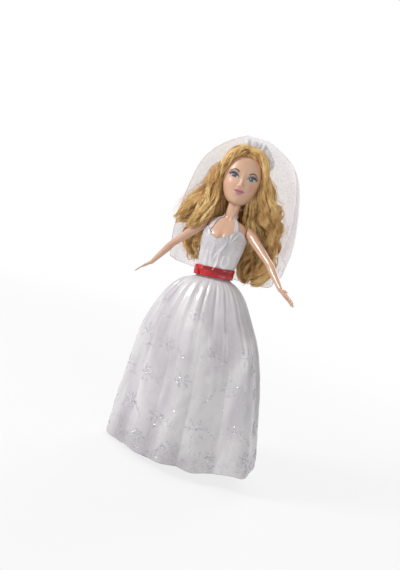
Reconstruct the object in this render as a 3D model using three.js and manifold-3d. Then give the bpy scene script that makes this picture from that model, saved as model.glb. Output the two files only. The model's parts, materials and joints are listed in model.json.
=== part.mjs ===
// A 1:6 bride fashion doll: hollow body shells, turning head, swinging arms, legs on a cross
// axle, rooted hair, satin gown with a red waist ribbon, halter straps, veil and court shoes.
// Millimetres, +Z up. The doll faces -Y and its left hand is on the +X side. The soles and the
// hem stand on z = 0, and the origin is under the middle of the whole part.

import * as THREE from 'three';
import { mergeVertices } from 'three/addons/utils/BufferGeometryUtils.js';
import Module from 'manifold-3d';

const wasm = await Module();
wasm.setup();

// Heights of the body, one above the other
const ankleHeight = 27;
const shinLength = 61;
const thighLength = 64;
const hipToWaist = 33;
const waistToShoulder = 45;
const shoulderToNeck = 10.5;
const neckLength = 12;
const headHeight = 44;

// Body sizes
const hipHalfWidth = 20.5;
const hipFront = 12;
const hipBack = 13.5;
const waistHalfWidth = 14.2;
const waistFront = 10.3;
const waistBack = 9;
const bustHalfWidth = 20;
const bustFront = 16.5;
const bustBack = 11.5;
const neckRadius = 6;
const neckForward = 0.5;
const crotchDrop = 6;
const wall = 2;
const clearance = 0.3;
const overrun = 4;

// Head sizes
const faceHalfWidth = 17.3;
const faceFront = 17.3;
const skullBack = 18;
const headTurn = THREE.MathUtils.degToRad(20);
const noseHalfWidth = 1.7;
const noseReach = 3.2;
const noseHalfHeight = 3.8;
const napeRise = 3;
const knobStem = 2.4;
const knobFlange = 7;
const knobThickness = 1.6;
const knobDepth = 12;

// Arm sizes
const shoulderOut = 23;
const shoulderBack = 1;
const shoulderRadius = 5.3;
const upperArmLength = 40.5;
const forearmLength = 29.5;
const handLength = 21;
const elbowRadius = 3.6;
const wristRadius = 2.4;
const palmHalfWidth = 3.3;
const palmHalfThickness = 1.5;
const thumbLength = 8;
const thumbRadius = 1.05;
const upperArmSpread = THREE.MathUtils.degToRad(43);
const forearmSpread = THREE.MathUtils.degToRad(35);
const handSpread = THREE.MathUtils.degToRad(50);
const leftArmSwing = THREE.MathUtils.degToRad(43);
const rightArmSwing = THREE.MathUtils.degToRad(-10);
const armPegRadius = 2.4;
const armFlangeRadius = 3.5;
const armFlangeThickness = 1.2;
const armPegDepth = 4.9;
const shoulderSeat = 0.5;

// Leg sizes
const hipKnuckleRadius = 11.9;
const legGap = 5.1;
const thighHalfWidth = 7.2;
const kneeOut = 10.2;
const ankleOut = 8.6;
const kneeRadius = 6.2;
const calfBack = 8.2;
const ankleRadius = 3.5;
const axleRadius = 2.6;
const axleHalfLength = 14;
const footReach = 24;
const footHalfWidth = 4.3;
const shoeThickness = 0.9;
const soleThickness = 1.6;
const heelTopRadius = 3.1;
const heelTipRadius = 1.5;
const heelBack = 3;

// Gown sizes
const clothThickness = 0.9;
const gownGap = 0.5;
const bodicePeak = 43;
const bodiceOverlap = 0.2;
const necklineTiltShare = 0.12;
const ribbonWidth = 9.5;
const ribbonDrop = 3.4;
const ribbonThickness = 0.8;
const waistbandHeight = 4.6;
const skirtHalfWidth = 73.5;
const skirtHalfDepth = 42;
const skirtSideShift = 18.5;
const skirtRaise = 16;
const gatherDepth = 1.1;
const foldDepth = 3.4;
const hemRipple = 2.4;
const strapWidth = 3.5;
const strapThickness = 0.5;
const closureHalfWidth = 2.2;

// Hair and veil sizes
const hairCapThickness = 3.2;
const hairSpread = 54;
const hairReach = 24;
const hairLength = 110;
const hairBelowCrown = 2;
const lockHalfWidth = 10;
const veilThickness = 0.6;
const veilRise = 20;
const veilHalfWidth = 60;
const veilDepth = 35;
const veilSideShift = 3;
const veilFrontEdge = 2;
const veilFold = 3;
const veilRightBehind = 22;
const veilBackHem = 183;
const veilRightHem = 188;
const veilLeftHem = 221;
const headpieceRadius = 19;
const headpieceSquashShare = 0.97;
const headpieceHeight = 16;
const headpieceThickness = 2.4;
const pleatDepth = 0.7;
const beadRadius = 1.3;

// Heights worked out from those lengths
const kneeHeight = ankleHeight + shinLength;
const hipHeight = kneeHeight + thighLength;
const waistHeight = hipHeight + hipToWaist;
const shoulderHeight = waistHeight + waistToShoulder;
const neckHeight = shoulderHeight + shoulderToNeck;
const chinHeight = neckHeight + neckLength;
const crownHeight = chinHeight + headHeight;
const crotchHeight = hipHeight - crotchDrop;
const hairTop = crownHeight - hairBelowCrown;
const veilTop = crownHeight + veilRise;

const skinColor = 0xdcaa8c;
const skin = { color: skinColor, roughness: 0.38, metalness: 0 };
const bodyPlastic = { color: 0xd9a587, roughness: 0.4, metalness: 0 };
const innerPlastic = { color: 0xe8e4dc, roughness: 0.5, metalness: 0 };
const hairFibre = { color: 0xc8954a, roughness: 0.5, metalness: 0 };
const satin = { color: 0xe9e6e6, roughness: 0.32, metalness: 0 };
const redRibbon = { color: 0xc01018, roughness: 0.35, metalness: 0 };
const tulle = { color: 0xf3dfe8, roughness: 0.8, metalness: 0 };
const shoePlastic = { color: 0xf2f0f2, roughness: 0.3, metalness: 0 };
const tape = { color: 0xf1efee, roughness: 0.9, metalness: 0 };
const pearl = { color: 0xf4eef0, roughness: 0.2, metalness: 0 };

const point = (x, y, z) => new THREE.Vector3(x, y, z);
const sideways = point(1, 0, 0);
const backwards = point(0, 1, 0);

// A value read from a table whose rows start with a rising key, on a smooth curve
function smoothRow(rows, key) {
  let i = 0;
  while (i < rows.length - 2 && key > rows[i + 1][0]) {
    i += 1;
  }
  const before = rows[Math.max(i - 1, 0)];
  const from = rows[i];
  const to = rows[i + 1];
  const after = rows[Math.min(i + 2, rows.length - 1)];
  const span = to[0] - from[0];
  const t = THREE.MathUtils.clamp((key - from[0]) / span, 0, 1);
  return from.slice(1).map((value, n) => {
    const column = n + 1;
    const slopeFrom = (to[column] - before[column]) / (to[0] - before[0]);
    const slopeTo = (after[column] - value) / (after[0] - from[0]);
    const h1 = 2 * t ** 3 - 3 * t ** 2 + 1;
    const h2 = t ** 3 - 2 * t ** 2 + t;
    const h3 = -2 * t ** 3 + 3 * t ** 2;
    const h4 = t ** 3 - t ** 2;
    return h1 * value + h2 * span * slopeFrom + h3 * to[column] + h4 * span * slopeTo;
  });
}

// Turns a closed mesh right side out if its volume comes out negative
function outward(positions, faces) {
  let volume = 0;
  for (const [a, b, c] of faces) {
    volume += positions[a].dot(positions[b].clone().cross(positions[c]));
  }
  const index = [];
  for (const [a, b, c] of faces) {
    index.push(a, volume < 0 ? c : b, volume < 0 ? b : c);
  }
  const geometry = new THREE.BufferGeometry();
  geometry.setFromPoints(positions);
  geometry.setIndex(index);
  return geometry;
}

const facets = { round: 20, fine: 28, small: 12, ribbon: 32 };

// A closed solid skinned over rings of equal counts, with a fan at each end
function loft(rings) {
  const count = rings[0].length;
  const positions = rings.flat();
  const faces = [];
  for (let i = 0; i < rings.length - 1; i += 1) {
    for (let j = 0; j < count; j += 1) {
      const next = (j + 1) % count;
      const a = i * count + j;
      const b = i * count + next;
      faces.push([a, b, b + count], [a, b + count, a + count]);
    }
  }
  const lastRing = (rings.length - 1) * count;
  for (let j = 1; j < count - 1; j += 1) {
    faces.push([0, j + 1, j]);
    faces.push([lastRing, lastRing + j, lastRing + j + 1]);
  }
  return outward(positions, faces);
}

// A sheet with thickness between two grids of points; wrap joins its first and last columns
function thickSheet(outer, inner, wrap) {
  const rows = outer.length;
  const columns = outer[0].length;
  const positions = [...outer.flat(), ...inner.flat()];
  const offset = rows * columns;
  const faces = [];
  const quad = (a, b, c, d) => faces.push([a, b, c], [a, c, d]);
  const at = (row, column) => row * columns + (column % columns);
  const steps = wrap ? columns : columns - 1;
  for (let i = 0; i < rows - 1; i += 1) {
    for (let j = 0; j < steps; j += 1) {
      quad(at(i, j), at(i, j + 1), at(i + 1, j + 1), at(i + 1, j));
      quad(offset + at(i, j), offset + at(i + 1, j), offset + at(i + 1, j + 1), offset + at(i, j + 1));
    }
    if (!wrap) {
      const last = columns - 1;
      quad(at(i, 0), at(i + 1, 0), offset + at(i + 1, 0), offset + at(i, 0));
      quad(at(i, last), offset + at(i, last), offset + at(i + 1, last), at(i + 1, last));
    }
  }
  const bottom = rows - 1;
  for (let j = 0; j < steps; j += 1) {
    quad(at(0, j), offset + at(0, j), offset + at(0, j + 1), at(0, j + 1));
    quad(at(bottom, j), at(bottom, j + 1), offset + at(bottom, j + 1), offset + at(bottom, j));
  }
  return outward(positions, faces);
}

// Joining and cutting of closed meshes
function toSolid(geometry) {
  const bare = geometry.clone();
  bare.deleteAttribute('normal');
  bare.deleteAttribute('uv');
  const merged = mergeVertices(bare);
  return new wasm.Manifold(new wasm.Mesh({
    numProp: 3,
    vertProperties: new Float32Array(merged.attributes.position.array),
    triVerts: new Uint32Array(merged.index.array),
  }));
}

function toGeometry(solid) {
  const bodies = solid.decompose();
  bodies.sort((a, b) => b.volume() - a.volume());
  const mesh = bodies[0].getMesh();
  const geometry = new THREE.BufferGeometry();
  const vertices = new Float32Array(mesh.vertProperties);
  geometry.setAttribute('position', new THREE.BufferAttribute(vertices, 3));
  geometry.setIndex(new THREE.BufferAttribute(new Uint32Array(mesh.triVerts), 1));
  return geometry;
}

const joined = (...parts) => parts.map(toSolid).reduce((whole, part) => whole.add(part));
const cutBy = (whole, ...cutters) => cutters.map(toSolid).reduce((left, cut) => left.subtract(cut), whole);

// A block between two corners, and a round bar along one axis
function block(low, high) {
  const size = high.clone().sub(low);
  const middle = high.clone().add(low).multiplyScalar(1 / 2);
  return new THREE.BoxGeometry(size.x, size.y, size.z).translate(middle.x, middle.y, middle.z);
}

function barX(radius, from, to, y, z, sides = facets.small) {
  const bar = new THREE.CylinderGeometry(radius, radius, Math.abs(to - from), sides);
  return bar.rotateZ(Math.PI / 2).translate((from + to) / 2, y, z);
}

function barZ(radius, from, to, x, y, sides = facets.small) {
  const bar = new THREE.CylinderGeometry(radius, radius, to - from, sides);
  return bar.rotateX(Math.PI / 2).translate(x, y, (from + to) / 2);
}

// A level ring: half-width, front and back reach, on a superellipse of the given squareness
function levelRing(half, front, back, height, count, squareness = 2) {
  const ring = [];
  for (let i = 0; i < count; i += 1) {
    const angle = (i / count) * 2 * Math.PI;
    const across = Math.sign(Math.cos(angle)) * Math.abs(Math.cos(angle)) ** (2 / squareness);
    const along = Math.sign(Math.sin(angle)) * Math.abs(Math.sin(angle)) ** (2 / squareness);
    ring.push(point(half * across, (along < 0 ? front : back) * along, height));
  }
  return ring;
}

// Body outline: rows of height share and half-width, front and back shares of the hip sizes
const pelvisShares = [
  [0, 0.36, 0.5, 0.6],
  [0.06, 0.66, 0.74, 0.84],
  [0.16, 0.9, 0.92, 0.98],
  [0.3, 1, 1, 1],
  [0.46, 0.97, 1, 0.96],
  [0.7, 0.81, 0.92, 0.79],
];

// The same from the waist to the neck, as shares of the bust sizes
const chestShares = [
  [0.1, 0.725, 0.64, 0.79],
  [0.235, 0.825, 0.7, 0.84],
  [0.38, 0.92, 0.82, 0.91],
  [0.5, 0.985, 0.965, 0.98],
  [0.59, 1, 1, 1],
  [0.68, 1, 0.93, 1],
  [0.78, 0.975, 0.74, 0.95],
  [0.86, 0.94, 0.58, 0.86],
  [0.92, 0.78, 0.47, 0.72],
  [0.965, 0.48, 0.4, 0.6],
];

const bodyRows = [
  ...pelvisShares.map(([rise, half, front, back]) => [
    crotchHeight + rise * (waistHeight - crotchHeight),
    half * hipHalfWidth,
    front * hipFront,
    back * hipBack,
  ]),
  [waistHeight, waistHalfWidth, waistFront, waistBack],
  ...chestShares.map(([rise, half, front, back]) => [
    waistHeight + rise * (neckHeight - waistHeight),
    half * bustHalfWidth,
    front * bustFront,
    back * bustBack,
  ]),
  [neckHeight, neckRadius + clearance, neckRadius, neckRadius - clearance],
  [neckHeight + neckLength / 3, neckRadius, neckRadius, neckRadius - neckForward],
  [chinHeight + knobDepth / 2 - clearance, neckRadius, neckRadius, neckRadius - neckForward],
];

const bodySquareness = 2.25;
const bodySides = facets.round;
const bodySteps = 20;
const cavitySteps = 8;

// A point on the body at an angle from the front, positive towards its left, at a height
function bodyPoint(angle, height, offset) {
  const [half, front, back] = smoothRow(bodyRows, height);
  const power = 2 / bodySquareness;
  const across = Math.sign(Math.sin(angle)) * Math.abs(Math.sin(angle)) ** power;
  const along = -Math.sign(Math.cos(angle)) * Math.abs(Math.cos(angle)) ** power;
  return point((half + offset) * across, ((along < 0 ? front : back) + offset) * along, height);
}

function bodyLoft(from, to, grow, steps) {
  const rings = [];
  for (let i = 0; i <= steps; i += 1) {
    const height = from + ((to - from) * i) / steps;
    const [half, front, back] = smoothRow(bodyRows, height);
    rings.push(levelRing(half + grow, front + grow, back + grow, height, bodySides, bodySquareness));
  }
  return loft(rings);
}

const knobTop = chinHeight + knobDepth / 2;
const cavityBottom = hipHeight + hipKnuckleRadius + wall + clearance;
const cavityTop = shoulderHeight + wall;
const legCutHeight = hipHeight + hipKnuckleRadius + wall;

// Torso: one hollow form with leg and arm seats, split into a front and a back shell
function torsoShells() {
  const outer = bodyLoft(crotchHeight, knobTop - clearance, 0, bodySteps);
  const cavity = bodyLoft(cavityBottom, cavityTop, -wall, cavitySteps);
  const neckBore = barZ(knobStem + clearance, cavityTop - overrun, knobTop + overrun, 0, -neckForward);
  const reach = bustHalfWidth + overrun;
  const armBore = barX(armPegRadius + clearance, -reach, reach, shoulderBack, shoulderHeight);
  const legCuts = [1, -1].map((side) => {
    const inner = side * (legGap - clearance);
    const outside = side * (hipHalfWidth + overrun);
    const knuckle = barX(hipKnuckleRadius + clearance, inner, outside, 0, hipHeight, facets.fine);
    const low = crotchHeight - overrun;
    const under = block(
      point(Math.min(inner, outside), -hipBack - overrun, low),
      point(Math.max(inner, outside), hipBack + overrun, hipHeight),
    );
    const lap = block(
      point(Math.min(inner, outside), -hipBack - overrun, low),
      point(Math.max(inner, outside), 0, legCutHeight),
    );
    return [knuckle, under, lap];
  }).flat();
  const armSeats = [1, -1].map((side) => {
    const face = side * (bustHalfWidth - clearance - shoulderSeat);
    const flange = side * (bustHalfWidth - armPegDepth - armFlangeThickness);
    const pocketEnd = side * (bustHalfWidth - armPegDepth + clearance);
    return [
      barX(shoulderRadius + clearance, face, side * reach, shoulderBack, shoulderHeight, facets.round),
      barX(armFlangeRadius + clearance, flange, pocketEnd, shoulderBack, shoulderHeight),
    ];
  }).flat();
  const axleBore = barX(axleRadius + clearance, -reach, reach, 0, hipHeight);
  const whole = cutBy(toSolid(outer), cavity, neckBore, armBore, ...legCuts, ...armSeats, axleBore);
  const halves = [
    [-bustFront - overrun, shoulderBack - clearance / 2],
    [shoulderBack + clearance / 2, hipBack + overrun],
  ];
  return halves.map(([near, far]) => {
    const keep = block(
      point(-reach, near, crotchHeight - overrun),
      point(reach, far, knobTop + overrun),
    );
    return toGeometry(whole.intersect(toSolid(keep)));
  });
}

// Neck knob: a stem pressed down the neck and a flange that holds the head on
function neckKnob() {
  const stem = barZ(knobStem, knobTop - knobDepth, knobTop + knobThickness / 2, 0, -neckForward);
  const flange = barZ(knobFlange, knobTop, knobTop + knobThickness, 0, -neckForward, facets.round);
  return toGeometry(joined(stem, flange));
}

// Head outline: height share from chin to crown, then half-width, front and back shares
const headShares = [
  [0, 0.42, 0.72, 0.42],
  [0.05, 0.54, 0.82, 0.48],
  [0.13, 0.68, 0.9, 0.58],
  [0.23, 0.8, 0.955, 0.7],
  [0.35, 0.91, 0.96, 0.83],
  [0.5, 0.985, 0.93, 0.95],
  [0.62, 1, 0.95, 1],
  [0.75, 0.95, 0.91, 1],
  [0.86, 0.82, 0.78, 0.88],
  [0.94, 0.6, 0.57, 0.66],
  [1, 0.16, 0.16, 0.18],
];
const headSquareness = 2.15;
const headSteps = 12;
const headSides = facets.round;
const headCavityFromShare = 0.13;
const headCavitySteps = 7;
const headCavitySides = 14;
const noseForwardShare = 0.94;
const noseRiseShare = 0.36;
const noseSides = 8;
const noseRings = 5;

function headLoft(from, grow, steps, sides) {
  const rings = [];
  for (let i = 0; i <= steps; i += 1) {
    const share = from + ((1 - from) * i) / steps;
    const [half, front, back] = smoothRow(headShares, share);
    const height = chinHeight + share * headHeight + grow * (2 * share - 1);
    const reach = [half * faceHalfWidth, front * faceFront, back * skullBack].map((size) => size + grow);
    const ring = levelRing(...reach, height, sides, headSquareness);
    const lift = napeRise * (1 - share) ** 2;
    ring.forEach((p) => {
      p.z += (lift * (p.y + faceFront)) / (faceFront + skullBack);
    });
    rings.push(ring);
  }
  return loft(rings);
}

function head() {
  const skull = headLoft(0, 0, headSteps, headSides);
  const nose = new THREE.SphereGeometry(1, noseSides, noseRings);
  nose.scale(noseHalfWidth, noseReach, noseHalfHeight);
  nose.translate(0, -faceFront * noseForwardShare, chinHeight + headHeight * noseRiseShare);
  const cavity = headLoft(headCavityFromShare, -wall, headCavitySteps, headCavitySides);
  const holeRadius = neckRadius + 2 * clearance;
  const roomRadius = knobFlange + clearance;
  const roomTop = knobTop + knobThickness + wall;
  const holeTop = knobTop + clearance;
  const neckHole = barZ(holeRadius, chinHeight - overrun, holeTop, 0, -neckForward, facets.round);
  const knobRoom = barZ(roomRadius, knobTop - clearance, roomTop, 0, -neckForward, facets.round);
  return toGeometry(cutBy(joined(skull, nose), cavity, neckHole, knobRoom));
}

// Rings square to a path, each with its two half-sizes; across is the first direction
function pathRings(places, across, sides) {
  const rings = [];
  for (let i = 0; i < places.length; i += 1) {
    const here = places[i].at;
    const before = places[Math.max(i - 1, 0)].at;
    const after = places[Math.min(i + 1, places.length - 1)].at;
    const along = places[i].along ?? after.clone().sub(before);
    along.normalize();
    const side = across.clone().addScaledVector(along, -across.dot(along)).normalize();
    const other = along.clone().cross(side);
    const ring = [];
    for (let j = 0; j < sides; j += 1) {
      const angle = (j / sides) * 2 * Math.PI;
      const p = here.clone().addScaledVector(side, places[i].a * Math.cos(angle));
      ring.push(p.addScaledVector(other, places[i].b * Math.sin(angle)));
    }
    rings.push(ring);
  }
  return rings;
}

// Arm, built hanging straight for the left side, in the plane through the shoulder axis
const upperArmShares = [
  [0.12, 0.95],
  [0.3, 0.9],
  [0.55, 0.82],
  [0.8, 0.7],
];
const forearmShares = [
  [0, 1],
  [0.25, 1.06],
  [0.6, 0.86],
];
const wristShares = [1.1, 0.9];
const handShares = [
  [0.08, 0.66, 1.2],
  [0.22, 0.95, 1.05],
  [0.42, 1, 1],
  [0.6, 0.82, 0.85],
  [0.8, 0.6, 0.7],
  [1, 0.22, 0.35],
];
const armSides = 12;

// Thumb: rows of the share of its length and its radius share, and where it leaves the palm
const thumbShares = [
  [0, 1.15],
  [0.6, 1],
  [1, 0.5],
];
const thumbRootShare = 0.2;
const thumbSideShare = 0.6;
const thumbAlongShare = 0.75;
const thumbOutShare = 0.62;
const thumbSides = 8;

function armPlaces(grow) {
  const start = bustHalfWidth - shoulderSeat;
  const direction = (spread) => point(Math.sin(spread), 0, -Math.cos(spread));
  const shoulder = point(shoulderOut, 0, 0);
  const upper = direction(upperArmSpread);
  const fore = direction(forearmSpread);
  const palm = direction(handSpread);
  const elbow = shoulder.clone().addScaledVector(upper, upperArmLength);
  const wrist = elbow.clone().addScaledVector(fore, forearmLength);
  const places = [
    { at: point(start, 0, 0), a: shoulderRadius + grow, b: shoulderRadius + grow, along: point(1, 0, 0) },
    {
      at: point((start + shoulderOut) / 2, 0, 0),
      a: shoulderRadius + grow,
      b: shoulderRadius + grow,
      along: point(1, 0, 0).add(upper.clone().multiplyScalar(1 / 3)),
    },
  ];
  for (const [share, radiusShare] of upperArmShares) {
    const radius = shoulderRadius * radiusShare + grow;
    const at = shoulder.clone().addScaledVector(upper, upperArmLength * share);
    places.push({ at, a: radius, b: radius, along: upper.clone() });
  }
  for (const [share, radiusShare] of forearmShares) {
    const radius = elbowRadius * radiusShare + grow;
    places.push({ at: elbow.clone().addScaledVector(fore, forearmLength * share), a: radius, b: radius });
  }
  const [wristWide, wristDeep] = wristShares;
  places.push({ at: wrist, a: wristRadius * wristWide + grow, b: wristRadius * wristDeep + grow });
  for (const [share, widthShare, depthShare] of handShares) {
    places.push({
      at: wrist.clone().addScaledVector(palm, handLength * share),
      a: palmHalfWidth * widthShare + grow,
      b: palmHalfThickness * depthShare + grow,
    });
  }
  return { places, wrist, palm };
}

function arm(side, swing, grow = 0) {
  const { places, wrist, palm } = armPlaces(grow);
  const limb = loft(pathRings(places, backwards, armSides));
  const base = wrist.clone().addScaledVector(palm, handLength * thumbRootShare);
  const tip = base.clone().addScaledVector(palm, thumbLength * thumbAlongShare);
  base.y -= palmHalfWidth * thumbSideShare;
  tip.y -= thumbLength * thumbOutShare;
  const thumb = loft(pathRings(thumbShares.map(([share, radiusShare]) => ({
    at: base.clone().lerp(tip, share),
    a: thumbRadius * radiusShare,
    b: thumbRadius * radiusShare,
  })), backwards, thumbSides));
  const seat = bustHalfWidth - shoulderSeat;
  const flangeFrom = bustHalfWidth - armPegDepth - armFlangeThickness + clearance;
  const flangeTo = bustHalfWidth - armPegDepth;
  const peg = barX(armPegRadius, flangeFrom, seat + shoulderSeat, 0, 0);
  const flange = barX(armFlangeRadius, flangeFrom, flangeTo, 0, 0);
  const parts = grow > 0 ? [limb] : [limb, thumb, peg, flange];
  const geometry = toGeometry(joined(...parts));
  geometry.rotateX(-swing);
  if (side < 0) {
    geometry.scale(-1, 1, 1);
    const flipped = Array.from(geometry.index.array);
    for (let i = 0; i < flipped.length; i += 3) {
      [flipped[i], flipped[i + 1]] = [flipped[i + 1], flipped[i]];
    }
    geometry.setIndex(flipped);
  }
  return geometry.translate(0, shoulderBack, shoulderHeight);
}

// Leg: rows of height share from ankle to hip, then outward place, half-width, front and back
// shares of the gap between knee and hip sizes
const legShares = [
  [0.06, 0, 0.66, 0.5, 0.44],
  [0.14, 0.15, 0.8, 0.62, 0.66],
  [0.27, 0.45, 1, 0.82, 1],
  [0.38, 0.75, 0.98, 0.92, 0.86],
  [0.47, 1, 0.98, 1.1, 0.7],
  [0.54, 1.08, 1.03, 1.15, 0.74],
  [0.66, 1.3, 1.13, 1.28, 0.92],
  [0.8, 1.75, 1.1, 1.45, 1.15],
  [0.92, 2.12, 1.09, 1.55, 1.35],
  [1, 2.2, 1.09, 1.4, 1.3],
];

// Foot, on tiptoe: backward and height shares, then half-width and half-thickness shares
const footShares = [
  [0.06, 0.74, 0.72, 1.06],
  [-0.06, 0.55, 0.78, 1.02],
  [-0.34, 0.34, 0.88, 0.8],
  [-0.62, 0.2, 1, 0.6],
  [-0.84, 0.15, 0.86, 0.44],
  [-1, 0.14, 0.4, 0.26],
];

// Ankle: rise in ankle radii, then half-width and half-depth shares
const ankleShares = [
  [3, 0.96, 0.9],
  [0, 1, 1.15],
];
const legSides = 12;

function footPlaces(side, grow) {
  const center = side * ankleOut;
  return footShares.map(([reach, rise, half, thick]) => ({
    at: point(center, reach * footReach, rise * ankleHeight),
    a: half * footHalfWidth + grow,
    b: thick * footHalfWidth + grow,
  }));
}

function footAndAnkle(side, grow) {
  const ankle = ankleShares.map(([rise, half, thick]) => ({
    at: point(side * ankleOut, 0, ankleHeight + rise * ankleRadius),
    a: half * ankleRadius + grow,
    b: thick * ankleRadius + grow,
  }));
  return loft(pathRings([...ankle, ...footPlaces(side, grow)], sideways, legSides));
}

function legRings(side) {
  const rings = [];
  for (const [share, out, half, front, back] of legShares) {
    const height = ankleHeight + share * (hipHeight - ankleHeight);
    const center = side * (ankleOut + out * (kneeOut - ankleOut));
    const ring = levelRing(half * kneeRadius, front * kneeRadius, back * calfBack, height, legSides);
    ring.forEach((p) => {
      p.x += center;
    });
    rings.push(ring);
  }
  return rings;
}

function leg(side) {
  const limb = loft(legRings(side));
  const foot = footAndAnkle(side, 0);
  const inner = side * legGap;
  const outer = side * (legGap + 2 * thighHalfWidth);
  const knuckle = barX(hipKnuckleRadius, inner, outer, 0, hipHeight, facets.fine);
  const boreEnd = side * (axleHalfLength + clearance);
  const bore = barX(axleRadius + clearance, side * (legGap - overrun), boreEnd, 0, hipHeight);
  return toGeometry(cutBy(joined(limb, foot, knuckle), bore));
}

const hipAxle = () => barX(axleRadius, -axleHalfLength, axleHalfLength, 0, hipHeight);

// Court shoe: shares of the foot's width, reach and height for its sole, heel and throat
const soleWidthShare = 0.8;
const soleToeShare = 1.02;
const soleWaistShare = 0.5;
const heelRiseShare = 0.5;
const heelSides = 10;
const throatBackShare = 0.1;
const throatRiseShare = 0.62;
const throatSlope = THREE.MathUtils.degToRad(41);

// A shell round the foot, a flat sole under the toes and a slim heel
function shoe(side) {
  const center = side * ankleOut;
  const shell = loft(pathRings(footPlaces(side, clearance + shoeThickness), sideways, legSides));
  const soleHalf = footHalfWidth * soleWidthShare;
  const sole = block(
    point(center - soleHalf, -footReach * soleToeShare, 0),
    point(center + soleHalf, -footReach * soleWaistShare, soleThickness),
  );
  const heelHeight = ankleHeight * heelRiseShare;
  const heel = new THREE.CylinderGeometry(heelTopRadius, heelTipRadius, heelHeight, heelSides);
  heel.rotateX(Math.PI / 2).translate(center, heelBack, heelHeight / 2);
  const footRoom = footAndAnkle(side, clearance);
  const reach = footReach + overrun;
  const below = block(
    point(center - reach, -2 * reach, -2 * ankleHeight),
    point(center + reach, reach, 0),
  );
  const throat = new THREE.BoxGeometry(reach, reach, reach);
  throat.rotateX(-throatSlope);
  throat.translate(center, -footReach * throatBackShare, ankleHeight * throatRiseShare + reach / 2);
  return toGeometry(cutBy(joined(shell, sole, heel), below, throat, footRoom));
}

// Height of the gown's neckline above the waist, by angle from the front in half turns
const necklineShares = [
  [0, 0.79],
  [0.1, 0.86],
  [0.22, 1],
  [0.32, 0.985],
  [0.5, 0.85],
  [0.75, 0.77],
  [1, 0.73],
];

function necklineHeight(angle) {
  const [share] = smoothRow(necklineShares, Math.abs(angle) / Math.PI);
  return waistHeight + bodicePeak * share;
}

// The waistline and all above it on the gown climb a little towards the doll's left
const gownLift = (angle) => point(0, 0, bodyPoint(angle, waistHeight, 0).x * necklineTiltShare);
const bodiceRows = 10;

// A panel of cloth on the body between two angles, from the waist up to the neckline
function bodicePanel(from, to, columns) {
  const grid = (offset) => {
    const lines = [];
    for (let i = 0; i < bodiceRows; i += 1) {
      const line = [];
      for (let j = 0; j < columns; j += 1) {
        const angle = from + ((to - from) * j) / (columns - 1);
        const bottom = waistHeight + bodiceOverlap;
        const top = necklineHeight(angle);
        const height = bottom + ((top - bottom) * i) / (bodiceRows - 1);
        line.push(bodyPoint(angle, height + gownLift(angle).z, offset));
      }
      lines.push(line);
    }
    return lines;
  };
  return thickSheet(grid(gownOuter), grid(gownGap), false);
}

// A band on the body between two angles and two heights above the waist
function bodyBand(from, to, low, high, inner, outer, columns, wrap) {
  const grid = (offset) => [low, (low + high) / 2, high].map((rise) => {
    const line = [];
    const steps = wrap ? columns : columns - 1;
    for (let j = 0; j < columns; j += 1) {
      const angle = from + ((to - from) * j) / steps;
      line.push(bodyPoint(angle, waistHeight + rise, offset).add(gownLift(angle)));
    }
    return line;
  });
  return thickSheet(grid(outer), grid(inner), wrap);
}

const gownOuter = gownGap + clothThickness;
const ribbonInner = gownOuter + 2 * clearance;

const ribbonOuter = ribbonInner + ribbonThickness;
const ribbonTop = ribbonWidth - ribbonDrop;
const waistRibbon = () => bodyBand(
  0, 2 * Math.PI, -ribbonDrop, ribbonTop, ribbonInner, ribbonOuter, facets.ribbon, true,
);

// The ribbon's free end, laid over it and narrower by these shares of its drop
const foldFrom = THREE.MathUtils.degToRad(-72);
const foldTo = THREE.MathUtils.degToRad(-43);
const foldLowShare = 0.8;
const foldHighShare = 0.2;
const foldColumns = 7;
const foldInner = ribbonOuter + clearance;
const ribbonFold = () => bodyBand(
  foldFrom,
  foldTo,
  -ribbonDrop * foldLowShare,
  ribbonTop - ribbonDrop * foldHighShare,
  foldInner,
  foldInner + ribbonThickness,
  foldColumns,
  false,
);

const closureTopShare = 0.7;
const closureColumns = 5;

function backClosure() {
  const halfAngle = closureHalfWidth / bustBack;
  const low = ribbonTop + clothThickness;
  const high = bodicePeak * closureTopShare;
  const inner = gownOuter + clearance;
  const outer = inner + strapThickness;
  return bodyBand(Math.PI - halfAngle, Math.PI + halfAngle, low, high, inner, outer, closureColumns, false);
}

// Halter strap: half turns from the front and height shares from neckline to nape
const strapShares = [
  [0, 0.215, 0],
  [0.25, 0.19, 0.33],
  [0.45, 0.19, 0.62],
  [0.6, 0.28, 0.84],
  [0.75, 0.5, 0.97],
  [0.88, 0.78, 1.04],
  [1, 0.985, 1.06],
];

const strapStartShare = 0.03;
const strapNapeShare = 0.7;
const strapSteps = 12;

function strap(side) {
  const low = necklineHeight(strapShares[0][1] * Math.PI) + clearance + strapStartShare * bodicePeak;
  const high = neckHeight + strapWidth * strapNapeShare;
  const middle = [];
  for (let i = 0; i <= strapSteps; i += 1) {
    const [turn, rise] = smoothRow(strapShares, i / strapSteps);
    middle.push(bodyPoint(side * turn * Math.PI, low + rise * (high - low), 0));
  }
  const grid = (offset) => middle.map((here, i) => {
    const before = middle[Math.max(i - 1, 0)];
    const after = middle[Math.min(i + 1, strapSteps)];
    const along = after.clone().sub(before).normalize();
    const out = point(here.x, here.y + neckForward, 0).normalize();
    out.addScaledVector(along, -out.dot(along)).normalize();
    const across = along.clone().cross(out);
    return [-1, 0, 1].map((k) => here.clone()
      .addScaledVector(across, (k * strapWidth) / 2)
      .addScaledVector(out, offset));
  });
  const sheet = thickSheet(grid(clearance * 2 + strapThickness), grid(clearance * 2), false);
  const skinRoom = bodyLoft(crotchHeight, knobTop - clearance, clearance, bodySteps);
  return toGeometry(cutBy(toSolid(sheet), skinRoom));
}

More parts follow.
